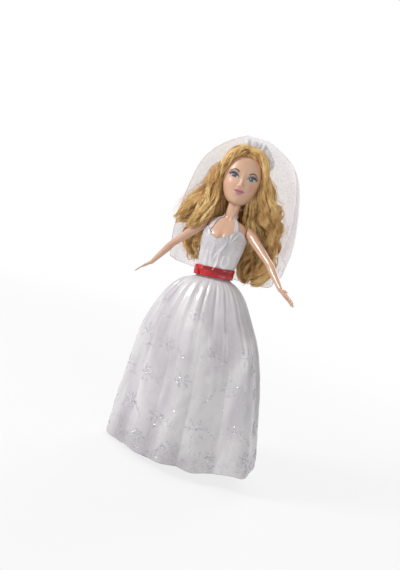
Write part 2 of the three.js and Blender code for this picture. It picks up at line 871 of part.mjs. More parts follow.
// Skirt: depth share from the waistband to the floor, then the shares of its fullness, its
// shift to one side, its gathers and its folds
const skirtShares = [
  [0, 0, 0, 1, 0],
  [0.035, 0.2, 0, 1, 0.05],
  [0.1, 0.37, 0.02, 0.8, 0.2],
  [0.19, 0.52, 0.09, 0.5, 0.35],
  [0.28, 0.65, 0.2, 0.25, 0.5],
  [0.37, 0.74, 0.32, 0.1, 0.6],
  [0.5, 0.815, 0.5, 0, 0.72],
  [0.64, 0.875, 0.66, 0, 0.84],
  [0.78, 0.93, 0.8, 0, 0.94],
  [0.9, 0.975, 0.92, 0, 1],
  [1, 1, 1, 0, 1],
];
const gatherCount = 14;
const gatherStartShare = 0.08;
const skirtColumns = 42;

// Folds round the skirt: shares of the fold depth, with how many go round and where they start
const foldShares = [
  [0.6, 5, 0.7],
  [0.4, 8, -1.1],
];
const hemRippleCount = 7;
const hemRisePower = 3;
const waistTiltPower = 4;

const foldWave = (angle) => foldShares.reduce(
  (sum, [share, count, start]) => sum + share * Math.cos(count * angle + start),
  0,
);

function skirtPoint(angle, depth, offset) {
  const [fullness, shift, gather, fold] = smoothRow(skirtShares, depth);
  const bandBottom = waistHeight - waistbandHeight;
  const start = bodyPoint(angle, bandBottom, gownOuter);
  const begun = Math.min(1, depth / gatherStartShare);
  const waves = gatherDepth * gather * begun * Math.cos(gatherCount * angle);
  const extra = offset + waves + foldDepth * fold * foldWave(angle);
  const half = start.x + (skirtHalfWidth * Math.sin(angle) - start.x) * fullness;
  const reach = start.y + (-skirtHalfDepth * Math.cos(angle) - start.y) * fullness;
  const side = (1 + Math.sin(angle)) / 2;
  const ripple = (1 + Math.cos(hemRippleCount * angle)) / 2;
  const hem = skirtRaise * side ** hemRisePower + hemRipple * ripple * side;
  const tilt = start.x * necklineTiltShare * (1 - depth) ** waistTiltPower;
  return point(
    half + extra * Math.sin(angle) + skirtSideShift * shift,
    reach - extra * Math.cos(angle),
    bandBottom + (hem - bandBottom) * depth + tilt,
  );
}

function skirt() {
  const depths = skirtShares.map(([depth]) => depth);
  const grid = (offset) => {
    const lines = [];
    const bandTop = [];
    for (let j = 0; j < skirtColumns; j += 1) {
      const angle = (j / skirtColumns) * 2 * Math.PI;
      const top = bodyPoint(angle, waistHeight - clearance, gownOuter + offset);
      bandTop.push(top.add(gownLift(angle)));
    }
    lines.push(bandTop);
    for (const depth of depths) {
      const line = [];
      for (let j = 0; j < skirtColumns; j += 1) {
        line.push(skirtPoint((j / skirtColumns) * 2 * Math.PI, depth, offset));
      }
      lines.push(line);
    }
    return lines;
  };
  return thickSheet(grid(0), grid(-clothThickness), true);
}

// Hair: every lock is a list of shares for sideways, backward and downward place, then its
// half-width and half-depth
const rightShoulderShares = [
  [-0.26, -0.26, 0.04, 0.5, 0.4],
  [-0.4, -0.28, 0.13, 0.75, 0.55],
  [-0.45, -0.2, 0.24, 0.9, 0.7],
  [-0.52, -0.16, 0.35, 1, 0.75],
  [-0.63, -0.12, 0.45, 1.05, 0.65],
  [-0.74, -0.06, 0.53, 1, 0.5],
  [-0.84, 0, 0.6, 0.55, 0.3],
];
const rightBackShares = [
  [-0.3, 0.62, 0.22, 0.8, 0.6],
  [-0.48, 0.75, 0.36, 1, 0.66],
  [-0.62, 0.85, 0.49, 1.1, 0.66],
  [-0.7, 0.92, 0.61, 1.1, 0.62],
  [-0.7, 0.92, 0.73, 1.05, 0.6],
  [-0.62, 0.88, 0.85, 0.9, 0.55],
  [-0.5, 0.84, 0.94, 0.4, 0.35],
];
const leftCurtainShares = [
  [0.27, -0.24, 0.05, 0.5, 0.4],
  [0.42, -0.22, 0.16, 0.8, 0.6],
  [0.51, -0.04, 0.28, 0.95, 0.7],
  [0.6, 0.3, 0.4, 1.1, 0.72],
  [0.7, 0.62, 0.53, 1.2, 0.72],
  [0.78, 0.72, 0.66, 1.2, 0.7],
  [0.8, 0.7, 0.76, 1, 0.6],
];
const leftInnerShares = [
  [0.16, 0.66, 0.22, 0.6, 0.5],
  [0.28, 0.74, 0.38, 0.85, 0.55],
  [0.38, 0.78, 0.53, 1, 0.58],
  [0.45, 0.78, 0.68, 1, 0.55],
  [0.47, 0.76, 0.79, 0.7, 0.4],
];
const leftCurlShares = [
  [0.82, 0.66, 0.762, 0.6, 0.5],
  [0.8, 0.62, 0.86, 0.8, 0.68],
  [0.66, 0.6, 0.92, 0.9, 0.72],
  [0.5, 0.62, 0.9, 0.85, 0.68],
  [0.44, 0.64, 0.83, 0.5, 0.45],
];
const backMassShares = [
  [0, 1.08, 0.16, 1.3, 0.5],
  [0, 1.14, 0.3, 1.9, 0.55],
  [0.01, 1.1, 0.46, 2.1, 0.55],
  [0.02, 1, 0.62, 2.1, 0.52],
  [0.02, 0.92, 0.78, 1.9, 0.46],
  [0.01, 0.88, 0.92, 1.4, 0.4],
];
const frontSweepShares = [
  [-0.03, -0.52, -0.035, 0.3, 0.26],
  [-0.17, -0.64, 0.015, 0.42, 0.36],
  [-0.32, -0.56, 0.09, 0.5, 0.4],
  [-0.415, -0.34, 0.18, 0.46, 0.36],
  [-0.42, -0.1, 0.27, 0.3, 0.26],
];

const leftSweepShare = 0.8;
const lockSides = 10;
const lockStepsPerRow = 2;

function lock(rows, across, grow) {
  const places = rows.map(([out, back, drop, width, depth]) => ({
    at: point(out * hairSpread, back * hairReach, hairTop - drop * hairLength),
    a: width * lockHalfWidth + grow,
    b: depth * lockHalfWidth + grow,
  }));
  const fine = [];
  const keys = places.map((place, i) => [i, place.at.x, place.at.y, place.at.z, place.a, place.b]);
  const steps = (places.length - 1) * lockStepsPerRow;
  for (let i = 0; i <= steps; i += 1) {
    const [x, y, z, a, b] = smoothRow(keys, i / lockStepsPerRow);
    fine.push({ at: point(x, y, z), a, b });
  }
  return loft(pathRings(fine, across, lockSides));
}

const capFromShare = 0.16;
const capSteps = 9;
const capSides = 18;
const capOuter = (grow) => headLoft(capFromShare, hairCapThickness + grow, capSteps, capSides);

// The head turns about the neck, which stands a little in front of the body's middle
const turnShift = point(-neckForward * Math.sin(headTurn), neckForward * (Math.cos(headTurn) - 1), 0);
const withHead = (geometry) => geometry.rotateZ(headTurn).translate(turnShift.x, turnShift.y, 0);
const toHead = (geometry) => geometry.translate(-turnShift.x, -turnShift.y, 0).rotateZ(-headTurn);

// The space that hair stays out of: body, gown, arms and the hair cap over the skull
function bodyRoom() {
  const gown = bodyLoft(crotchHeight, knobTop - clearance, gownOuter + 2 * clearance, bodySteps);
  const cap = withHead(capOuter(clearance));
  const jaw = withHead(headLoft(0, 2 * clearance, headSteps, headSides));
  return [gown, cap, jaw, arm(1, leftArmSwing, clearance), arm(-1, rightArmSwing, clearance)];
}

// Hairline: shares of the head's height and of the face's reach
const faceOpeningRiseShare = 0.42;
const faceOpeningHalfShare = 0.46;
const faceOpeningForwardShare = 1.25;
const jawBackShare = 0.1;
const jawRiseShare = 0.3;
const napeHairShare = 0.1;

function hairCap() {
  const outer = capOuter(0);
  const skull = headLoft(0, clearance, headSteps, headSides);
  const halfOpening = faceHalfWidth - clearance;
  const face = new THREE.CylinderGeometry(1, 1, 2 * faceFront, facets.fine);
  face.scale(halfOpening, 1, headHeight * faceOpeningHalfShare);
  face.translate(0, -faceFront * faceOpeningForwardShare, chinHeight + headHeight * faceOpeningRiseShare);
  const jaw = block(
    point(-halfOpening - overrun, -2 * faceFront, chinHeight - overrun),
    point(halfOpening + overrun, -faceFront * jawBackShare, chinHeight + headHeight * jawRiseShare),
  );
  const under = block(
    point(-2 * faceHalfWidth, -2 * faceFront, chinHeight - 2 * overrun),
    point(2 * faceHalfWidth, 2 * skullBack, chinHeight + headHeight * napeHairShare),
  );
  const holeRadius = neckRadius + 2 * clearance;
  const neckRoom = barZ(holeRadius, chinHeight - overrun, knobTop, 0, -neckForward, facets.round);
  return toGeometry(cutBy(toSolid(outer), skull, face, jaw, under, neckRoom));
}

// Veil: drop share from the top, then half-width and depth shares
const veilShares = [
  [0, 0.15, 0],
  [0.045, 0.35, 0.05],
  [0.14, 0.61, 0.45],
  [0.25, 0.78, 0.78],
  [0.41, 0.89, 0.95],
  [0.62, 0.97, 1],
  [0.81, 1, 1],
  [1, 0.96, 0.98],
];
const veilColumns = 34;
const veilSquareness = 2.7;
const veilFoldCount = 7;
const veilFoldStart = 0.8;
const hemSidePower = 2;
const hemEdgePower = 2.5;
const besidePower = 4;
const veilHalfSweep = THREE.MathUtils.degToRad(96);
const veilDropShares = [0, 0.02, 0.045, 0.09, 0.14, 0.25, 0.41, 0.6, 0.8, 1];

function veilPoint(turn, drop, offset) {
  const [width, depth] = smoothRow(veilShares, drop);
  const angle = turn * veilHalfSweep;
  const side = (1 + turn) / 2;
  const edgeHem = veilRightHem + (veilLeftHem - veilRightHem) * side ** hemSidePower;
  const hem = veilBackHem + (edgeHem - veilBackHem) * Math.abs(turn) ** hemEdgePower;
  const fold = veilFold * drop * Math.cos(veilFoldCount * angle + veilFoldStart) + offset;
  const power = 2 / veilSquareness;
  const across = Math.sign(Math.sin(angle)) * Math.abs(Math.sin(angle)) ** power;
  const along = Math.sign(Math.cos(angle)) * Math.abs(Math.cos(angle)) ** power;
  const x = veilSideShift + (veilHalfWidth * width + fold) * across;
  const besideHeadpiece = x * Math.tan(headTurn) * (1 - drop) ** besidePower;
  const behindArm = veilRightBehind * drop * (1 - side) ** hemSidePower;
  const y = veilFrontEdge + (veilDepth * depth + fold) * along + behindArm + besideHeadpiece;
  return point(x, y, veilTop + (hem - veilTop) * drop);
}

function veil() {
  const grid = (offset) => veilDropShares.map((drop) => {
    const line = [];
    for (let j = 0; j < veilColumns; j += 1) {
      line.push(veilPoint((2 * j) / (veilColumns - 1) - 1, drop, offset));
    }
    return line;
  });
  return thickSheet(grid(veilThickness), grid(0), false);
}

// Headpiece: where it runs over the head, and its shares of the head's and its own height
const headpieceFrom = THREE.MathUtils.degToRad(-28);
const headpieceTo = THREE.MathUtils.degToRad(62);
const headpieceCenterShare = 0.58;
const headpieceEndShare = 0.35;
const headpieceRiseShares = [0, 0.5, 1];
const headpieceArchPower = 0.7;
const headpieceColumns = 28;
const pleatCount = 13;
const pleatFootShare = 0.3;
const pleatSeatShare = 0.33;
const beadAngle = THREE.MathUtils.degToRad(32);
const beadRiseShare = 0.45;
const beadSides = 8;
const beadRings = 6;
const headpieceBack = veilFrontEdge - clearance - pleatDepth * pleatSeatShare;
const headpieceMiddle = headpieceBack - headpieceThickness / 2;
const headpieceCenter = chinHeight + headHeight * headpieceCenterShare;
const headpieceFoot = headpieceRadius + hairCapThickness;
const headpiecePoint = (angle, radius, y) => point(
  radius * Math.sin(angle),
  y,
  headpieceCenter + radius * Math.cos(angle) * headpieceSquashShare,
);

// Headpiece: a pleated band standing on the hair, higher in the middle
function headpiece() {
  const grid = (offset) => headpieceRiseShares.map((rise) => {
    const line = [];
    for (let j = 0; j < headpieceColumns; j += 1) {
      const share = j / (headpieceColumns - 1);
      const arch = Math.sin(Math.PI * share) ** headpieceArchPower;
      const height = headpieceHeight * (headpieceEndShare + (1 - headpieceEndShare) * arch);
      const opened = pleatFootShare + (1 - pleatFootShare) * rise;
      const pleat = pleatDepth * Math.cos(pleatCount * 2 * Math.PI * share) * opened;
      const angle = headpieceFrom + (headpieceTo - headpieceFrom) * share;
      line.push(headpiecePoint(angle, headpieceFoot + height * rise, offset + pleat + headpieceMiddle));
    }
    return line;
  });
  const capRoom = capOuter(clearance);
  const sheet = thickSheet(grid(-headpieceThickness / 2), grid(headpieceThickness / 2), false);
  return toGeometry(cutBy(toSolid(sheet), capRoom));
}

function bead() {
  const sphere = new THREE.SphereGeometry(beadRadius, beadSides, beadRings);
  const front = headpieceMiddle - headpieceThickness / 2 - pleatDepth - beadRadius;
  const at = headpiecePoint(beadAngle, headpieceFoot + headpieceHeight * beadRiseShare, front);
  return sphere.translate(at.x, at.y, at.z);
}

// Assembly
const doll = new THREE.Group();
const turned = new THREE.Group();
turned.rotation.z = headTurn;
turned.position.copy(turnShift);
doll.add(turned);

function place(name, geometry, finish, parent = doll) {
  geometry.deleteAttribute('uv');
  const clean = mergeVertices(geometry.deleteAttribute('normal'));
  clean.computeVertexNormals();
  const mesh = new THREE.Mesh(clean, new THREE.MeshStandardMaterial(finish));
  mesh.name = name;
  parent.add(mesh);
  return mesh;
}

const [torsoFront, torsoBack] = torsoShells();
place('torso_front', torsoFront, bodyPlastic);
place('torso_back', torsoBack, bodyPlastic);
place('neck_knob', neckKnob(), innerPlastic);
place('head', head(), skin, turned);
place('arm_left', arm(1, leftArmSwing), skin);
place('arm_right', arm(-1, rightArmSwing), skin);
place('hip_axle', hipAxle(), innerPlastic);
place('leg_left', leg(1), bodyPlastic);
place('leg_right', leg(-1), bodyPlastic);
place('shoe_left', shoe(1), shoePlastic);
place('shoe_right', shoe(-1), shoePlastic);

const sideSeam = THREE.MathUtils.degToRad(101);
const seamGap = clearance / bustHalfWidth;
const frontColumns = 21;
const backColumns = 7;
place('bodice_front', bodicePanel(-sideSeam, sideSeam, frontColumns), satin);
place('bodice_back_left', bodicePanel(sideSeam + seamGap, Math.PI - seamGap, backColumns), satin);
place('bodice_back_right', bodicePanel(-Math.PI + seamGap, -sideSeam - seamGap, backColumns), satin);
place('back_closure', backClosure(), tape);
place('strap_left', strap(1), tulle);
place('strap_right', strap(-1), tulle);
place('waist_ribbon', waistRibbon(), redRibbon);
place('ribbon_fold', ribbonFold(), redRibbon);
place('skirt', skirt(), satin);

place('hair_cap', hairCap(), hairFibre, turned);
const mirrorRows = (rows) => rows.map(([out, back, drop, width, depth]) => [
  -out,
  back,
  drop,
  width * leftSweepShare,
  depth * leftSweepShare,
]);
const room = bodyRoom();
const lockSpecs = [
  ['hair_back', backMassShares],
  ['hair_shoulder_right', rightShoulderShares],
  ['hair_back_right', rightBackShares],
  ['hair_curtain_left', leftCurtainShares],
  ['hair_inner_left', leftInnerShares],
  ['hair_curl_left', leftCurlShares],
];
const placed = [];
for (const [name, rows] of lockSpecs) {
  place(name, toGeometry(cutBy(toSolid(lock(rows, sideways, 0)), ...room, ...placed)), hairFibre);
  placed.push(lock(rows, sideways, clearance));
}
const capRoom = capOuter(clearance);
const inHeadFrame = placed.map((cutter) => toHead(cutter.clone()));
const headRoom = headLoft(0, 2 * clearance, headSteps, headSides);
for (const [name, rows] of [
  ['hair_sweep_right', frontSweepShares],
  ['hair_sweep_left', mirrorRows(frontSweepShares)],
]) {
  const sweep = cutBy(toSolid(lock(rows, backwards, 0)), capRoom, headRoom, ...inHeadFrame);
  place(name, toGeometry(sweep), hairFibre, turned);
}
place('veil', veil(), tulle);
place('veil_headpiece', headpiece(), tulle, turned);
place('headpiece_bead', bead(), pearl, turned);

doll.updateMatrixWorld(true);
const middle = new THREE.Box3().setFromObject(doll, true).getCenter(new THREE.Vector3());
doll.position.set(-middle.x, -middle.y, 0);

export default doll;
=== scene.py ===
import json
import math
import random

import bpy
import numpy as np
from mathutils import Matrix, Vector
from mathutils.bvhtree import BVHTree


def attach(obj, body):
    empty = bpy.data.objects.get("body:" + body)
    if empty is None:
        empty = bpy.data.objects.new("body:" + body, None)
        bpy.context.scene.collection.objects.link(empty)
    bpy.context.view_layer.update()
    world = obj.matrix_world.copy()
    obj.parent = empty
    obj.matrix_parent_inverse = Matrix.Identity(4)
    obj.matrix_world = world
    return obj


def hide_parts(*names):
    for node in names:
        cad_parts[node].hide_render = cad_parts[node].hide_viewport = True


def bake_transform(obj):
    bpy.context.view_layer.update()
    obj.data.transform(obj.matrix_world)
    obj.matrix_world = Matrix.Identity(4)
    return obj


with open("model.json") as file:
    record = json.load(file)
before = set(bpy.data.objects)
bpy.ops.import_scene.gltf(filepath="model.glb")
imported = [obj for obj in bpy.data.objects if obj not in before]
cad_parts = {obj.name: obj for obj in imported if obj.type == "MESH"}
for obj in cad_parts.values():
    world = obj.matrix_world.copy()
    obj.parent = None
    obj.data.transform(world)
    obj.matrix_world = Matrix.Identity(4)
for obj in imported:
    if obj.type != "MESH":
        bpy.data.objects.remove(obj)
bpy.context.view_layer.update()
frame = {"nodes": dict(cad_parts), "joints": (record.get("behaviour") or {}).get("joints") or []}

# The view and the floor: a pale sheet of card on a table, and a camera half a metre away. The doll
# leans in the picture, so the camera is rolled by that lean. Its place and turns fit the eyes, lips,
# shoulders, waist and hands of the photograph.
mm = 0.001
joint_at = {joint["name"]: Vector(joint["pos_m"]) for joint in frame["joints"]}
middle = Vector((joint_at["hips_sit"].x, joint_at["hips_sit"].y, 0))
camera_place = Vector((99.7, -471.5, 210.8)) * mm + middle
camera_yaw, camera_pitch, camera_roll = math.radians(-13.1), math.radians(4.8), math.radians(16.6)
focal_px, picture_height_px = 500, 570

to_image_axes = Matrix(((1, 0, 0), (0, 0, -1), (0, 1, 0)))
turn = Matrix.Rotation(camera_roll, 3, "Z") @ to_image_axes
turn = turn @ Matrix.Rotation(camera_pitch, 3, "X") @ Matrix.Rotation(camera_yaw, 3, "Z")
camera_data = bpy.data.cameras.new("camera")
camera_data.lens = focal_px * camera_data.sensor_width / picture_height_px
camera_data.clip_start = 0.01
camera = bpy.data.objects.new("camera", camera_data)
bpy.context.scene.collection.objects.link(camera)
camera.matrix_world = (turn.transposed() @ Matrix.Diagonal((1, -1, -1))).to_4x4()
camera.location = camera_place
bpy.context.scene.camera = camera
bpy.context.scene.view_settings.view_transform = "Standard"


def material(name):
    """A new node material, with its node tree and its shader."""
    made = bpy.data.materials.new(name)
    made.use_nodes = True
    shader = made.node_tree.nodes["Principled BSDF"]
    return made, made.node_tree, shader


def wired(made, **values):
    """Sets a node's settings and sockets by name; a socket takes a value or another node's output."""
    for key, value in values.items():
        if hasattr(made, key):
            setattr(made, key, value)
            continue
        socket = made.inputs[key.replace("_", " ")]
        if isinstance(value, bpy.types.NodeSocket):
            made.id_data.links.new(value, socket)
        else:
            socket.default_value = value
    return made


def node(tree, kind, **values):
    """A new node with its settings and sockets."""
    return wired(tree.nodes.new(kind), **values)


def combined(tree, kind, *links, **settings):
    """What a node makes of several outputs, led to its sockets in their order."""
    made = node(tree, kind, **settings)
    for socket, link in zip(made.inputs, links):
        tree.links.new(link, socket)
    return made.outputs[0]


def shader_mix(tree, share, first, second, output):
    """Mixes two shaders by a share and leads them to the output's surface."""
    mixed = combined(tree, "ShaderNodeMixShader", share, first.outputs[0], second.outputs[0])
    tree.links.new(mixed, tree.nodes[output].inputs["Surface"])


def place_on(tree):
    """The place on the object in metres, by which its textures are laid."""
    return node(tree, "ShaderNodeTexCoord").outputs["Object"]


def seen_directly(tree):
    """A factor that is 1 for the eye and for what is seen in gloss and glass, and 0 for light."""
    path = node(tree, "ShaderNodeLightPath").outputs
    seen = combined(tree, "ShaderNodeMath", path["Is Camera Ray"], path["Is Glossy Ray"],
                    operation="MAXIMUM")
    return combined(tree, "ShaderNodeMath", seen, path["Is Transmission Ray"], operation="MAXIMUM")


floor_reach = 3.0
floor_mesh = bpy.data.meshes.new("floor")
floor_corners = [(x * floor_reach, y * floor_reach, 0) for x, y in ((-1, -1), (1, -1), (1, 1), (-1, 1))]
floor_mesh.from_pydata(floor_corners, [], [(0, 1, 2, 3)])
floor = bpy.data.objects.new("floor", floor_mesh)
bpy.context.scene.collection.objects.link(floor)
pale_floor, tree, shader = material("pale_floor")
wired(shader, Base_Color=(0.86, 0.86, 0.86, 1), Roughness=0.9, Specular_IOR_Level=0)
white = node(tree, "ShaderNodeEmission", Color=(1, 1, 1, 1), Strength=1)
away = node(tree, "ShaderNodeVectorMath", operation="LENGTH", Vector=place_on(tree))
fade = node(tree, "ShaderNodeMapRange", interpolation_type="SMOOTHSTEP", Value=away.outputs["Value"],
            From_Min=0.2, From_Max=1.1, To_Min=0.8, To_Max=1)
faded = combined(tree, "ShaderNodeMath", seen_directly(tree), fade.outputs["Result"], operation="MULTIPLY")
shader_mix(tree, faded, shader, white, "Material Output")
floor_mesh.materials.append(pale_floor)

# The light: a soft room with one broad lamp from the upper left of the picture, a weaker one from
# the right and a low one behind, as in a plain product studio.
room_strength = 0.36
world = bpy.data.worlds.new("room")
world.use_nodes = True
bpy.context.scene.world = world
tree = world.node_tree
light = wired(tree.nodes["Background"], Color=(1, 1, 1, 1), Strength=room_strength)
backdrop = node(tree, "ShaderNodeBackground", Color=(1, 1, 1, 1), Strength=1)
shader_mix(tree, seen_directly(tree), light, backdrop, "World Output")


def lamp(name, place, target, size, power):
    """A square area lamp at a place, facing a target, all in metres and watts."""
    data = bpy.data.lights.new(name, "AREA")
    data.size = size
    data.energy = power
    made = bpy.data.objects.new(name, data)
    bpy.context.scene.collection.objects.link(made)
    made.location = place
    made.rotation_euler = (Vector(target) - Vector(place)).to_track_quat("-Z", "Y").to_euler()


chest = (middle.x, middle.y, 0.2)
lamp("key_lamp", (-0.85, -0.5, 0.75), chest, 0.25, 8.0)
lamp("fill_lamp", (0.75, -0.75, 0.45), chest, 0.4, 1.7)
lamp("back_lamp", (0.2, 0.9, 0.8), chest, 0.6, 4.6)

# Body: two thin-walled shells of hard tan plastic, glued at the sides over the arm pegs, the hip axle
# and the neck knob, with the neck moulded on. The gown follows the same outline at a small offset.
# A row of shares gives the height, then the half width and the reach to the front and to the back.
crotch_height, waist_height, neck_height, knob_top = 146, 185, 240.5, 258.5
chin_height, head_height, shoulder_height = 252.5, 44, 230
hip_half, hip_front, hip_back = 20.5, 12, 13.5
bust_half, bust_front, bust_back = 20, 16.5, 11.5
neck_radius, neck_forward, fit_gap, wall = 6, 0.5, 0.3, 2
body_squareness = 2.25
pelvis_shares = [
    (0, 0.36, 0.5, 0.6), (0.06, 0.66, 0.74, 0.84), (0.16, 0.9, 0.92, 0.98), (0.3, 1, 1, 1),
    (0.46, 0.97, 1, 0.96), (0.7, 0.81, 0.92, 0.79),
]
chest_shares = [
    (0.1, 0.725, 0.64, 0.79), (0.235, 0.825, 0.7, 0.84), (0.38, 0.92, 0.82, 0.91),
    (0.5, 0.985, 0.965, 0.98), (0.59, 1, 1, 1), (0.68, 1, 0.93, 1), (0.78, 0.975, 0.74, 0.95),
    (0.86, 0.94, 0.58, 0.86), (0.92, 0.78, 0.47, 0.72), (0.965, 0.48, 0.4, 0.6),
]
body_rows = [
    (crotch_height + rise * (waist_height - crotch_height), a * hip_half, b * hip_front, c * hip_back)
    for rise, a, b, c in pelvis_shares
]
body_rows.append((waist_height, 14.2, 10.3, 9))
body_rows += [
    (waist_height + rise * (neck_height - waist_height), a * bust_half, b * bust_front, c * bust_back)
    for rise, a, b, c in chest_shares
]
body_rows += [
    (neck_height, neck_radius + fit_gap, neck_radius, neck_radius - fit_gap),
    (neck_height + 4, neck_radius, neck_radius, neck_radius - neck_forward),
    (knob_top - fit_gap, neck_radius, neck_radius, neck_radius - neck_forward),
]


def follow(rows, keys):
    """Smooth values between the rows of a table whose first column rises."""
    rows = np.array(rows, float)
    keys = np.asarray(keys, float)
    i = np.clip(np.searchsorted(rows[:, 0], keys) - 1, 0, len(rows) - 2)
    start, end = rows[i], rows[i + 1]
    before, after = rows[np.maximum(i - 1, 0)], rows[np.minimum(i + 2, len(rows) - 1)]
    span = (end - start)[..., :1]
    t = np.clip((keys[..., None] - start[..., :1]) / span, 0, 1)
    slope_start = (end - before) / (end - before)[..., :1]
    slope_end = (after - start) / (after - start)[..., :1]
    made = (2 * t**3 - 3 * t**2 + 1) * start + (t**3 - 2 * t**2 + t) * span * slope_start
    made = made + (3 * t**2 - 2 * t**3) * end + (t**3 - t**2) * span * slope_end
    return np.moveaxis(made[..., 1:], -1, 0)


def rounded(angle, squareness):
    """Sine and cosine on a superellipse of that squareness."""
    sine, cosine, power = np.sin(angle), np.cos(angle), 2 / squareness
    return np.sign(sine) * np.abs(sine) ** power, np.sign(cosine) * np.abs(cosine) ** power


def body_point(angle, height, offset=0.0):
    """A point on the body at an angle from the front, positive to its left, in millimetres."""
    angle, height = np.broadcast_arrays(angle, height)
    half, front, back = follow(body_rows, height)
    across, along = rounded(angle, body_squareness)
    reach = np.where(along > 0, front, back)
    return np.stack([(half + offset) * across, -(reach + offset) * along, height], -1)


def bell(off, width, power=2):
    """A share that is 1 where off is nothing and fades beyond a width, the higher the power the sharper."""
    return np.exp(-((off / width) ** power))


def bump_at(x, z, at, size, height):
    """A smooth round swelling on a plane."""
    return height * np.exp(-(((x - at[0]) / size[0]) ** 2) - ((z - at[1]) / size[1]) ** 2)


def mesh_object(name, points, faces, finish=None, uvs=None, smooth=True):
    """A piece made of points in millimetres from the middle of the doll, with fibres mapped along it."""
    mesh = bpy.data.meshes.new(name)
    mesh.from_pydata((points.reshape(-1, 3) * mm + np.array(middle)).tolist(), [], faces)
    if uvs is not None:
        mesh.uv_layers.new(name="along").data.foreach_set("uv", np.array(uvs, np.float32).ravel())
    if smooth:
        mesh.polygons.foreach_set("use_smooth", [True] * len(mesh.polygons))
    if finish:
        mesh.materials.append(finish)
    mesh.update()
    made = bpy.data.objects.new(name, mesh)
    bpy.context.scene.collection.objects.link(made)
    return made


def grid_faces(rows, columns, around):
    """Quads over rows and columns of points; around joins the last column to the first."""
    return [
        (i * columns + j, i * columns + (j + 1) % columns,
         (i + 1) * columns + (j + 1) % columns, (i + 1) * columns + j)
        for i in range(rows - 1) for j in range(columns if around else columns - 1)
    ]


def grid_object(name, grid, finish, around=False, closed_ends=False, uv_scale=(1, 1)):
    """A smooth mesh over rows and columns of points in millimetres; around joins its two sides."""
    rows, columns = grid.shape[:2]
    last = columns if around else columns - 1
    faces = grid_faces(rows, columns, around)
    uvs = [
        (a / last * uv_scale[0], b / (rows - 1) * uv_scale[1])
        for i in range(rows - 1) for j in range(last)
        for a, b in ((j, i), (j + 1, i), (j + 1, i + 1), (j, i + 1))
    ]
    if closed_ends:
        ring = list(range(columns))
        faces += [ring[::-1], [(rows - 1) * columns + j for j in ring]]
        uvs += [(0, 0)] * (2 * columns)
    return mesh_object(name, grid, faces, finish, uvs)


def thicken(piece, thickness, offset=-1):
    """Gives a sheet its thickness, inwards unless offset says otherwise."""
    solid = piece.modifiers.new("thickness", "SOLIDIFY")
    solid.thickness = thickness * mm
    solid.offset = offset
    return piece


def toned(tree, factor, *stops):
    """A colour that runs through stops, each a value of the factor and the tone it has there."""
    made = node(tree, "ShaderNodeValToRGB", Fac=factor)
    ends = made.color_ramp.elements
    for end, (at, tone) in zip((ends[0], ends[1]), (stops[0], stops[-1])):
        end.position, end.color = at, (*tone, 1)
    for at, tone in stops[1:-1]:
        ends.new(at).color = (*tone, 1)
    return made.outputs["Color"]


def bumped(tree, height, strength, distance):
    """A surface that stands up by a height, of a strength and over a distance in metres."""
    return node(tree, "ShaderNodeBump", Strength=strength, Distance=distance, Height=height)


def plastic(name, low, high, gloss, coat):
    """Moulded plastic: two close tones in slow clouds, a faint grain and a glossy skin."""
    made, tree, shader = material(name)
    place = place_on(tree)
    clouds = node(tree, "ShaderNodeTexNoise", Scale=90, Detail=3, Vector=place)
    grain = node(tree, "ShaderNodeTexNoise", Scale=2200, Detail=2, Vector=place)
    wired(shader, Base_Color=toned(tree, clouds.outputs["Fac"], (0.3, low), (0.7, high)),
          Normal=bumped(tree, grain.outputs["Fac"], 0.06, 0.0001).outputs["Normal"],
          Roughness=gloss, Coat_Weight=coat, Coat_Roughness=0.12)
    return made, tree, shader


body_plastic = plastic("body_plastic", (0.66, 0.395, 0.255), (0.72, 0.445, 0.30), 0.38, 0.3)[0]
inner_plastic = plastic("inner_plastic", (0.72, 0.70, 0.66), (0.78, 0.76, 0.72), 0.5, 0)[0]

torso_height = np.linspace(crotch_height, knob_top - fit_gap, 150)[:, None]
neckline_height, collar_height, collar_out = 225, 237.2, 9.5
cord_foot, cord_top, breastbone_height = 238, 256, 219


def finished(piece, finish):
    """Gives a piece one material in place of those that it has."""
    piece.data.materials.clear()
    piece.data.materials.append(finish)


def torso_shell(name, cad_node, start, end):
    """One body shell between two angles, with collarbones, neck cords and a soft breastbone."""
    angle = np.linspace(start, end, 90)[None, :]
    grid = body_point(angle, torso_height)
    x, z, front = grid[..., 0], grid[..., 2], np.cos(angle) > 0
    above_neckline = 1 / (1 + np.exp(-(z - neckline_height) / 1.5))
    collar_line = collar_height + 0.04 * np.maximum(np.abs(x) - 6, 0) ** 1.2
    collar = 0.55 * bell(z - collar_line, 1.1) * bell(np.abs(x) - collar_out, 4.8, 4)
    notch = bump_at(x, z, (0, collar_height + 0.4), (1.7, 2), -0.55)
    hollow = bump_at(np.abs(x), z, (9, collar_height + 2.4), (4, 1.5), -0.35)
    cord_x = 1.6 + (z - cord_foot) * 0.28
    cords = 0.3 * bell(np.abs(x) - cord_x, 0.9) * (z > cord_foot) * (z < cord_top)
    valley = bump_at(x, z, (0, breastbone_height), (2.2, 7), -1.3)
    grid[..., 1] -= np.where(front, (collar + notch + hollow + cords) * above_neckline + valley, 0)
    shell = grid_object(name, grid, body_plastic)
    thicken(shell, wall)
    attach(shell, "torso")
    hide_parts(cad_node)


parting = 0.006
seam = math.pi / 2 + parting
torso_shell("torso_front_shell", "torso_front", -seam, seam)
torso_shell("torso_back_shell", "torso_back", seam + parting, 2 * math.pi - seam - parting)
for name in ("neck_knob", "hip_axle"):
    finished(frame["nodes"][name], inner_plastic)

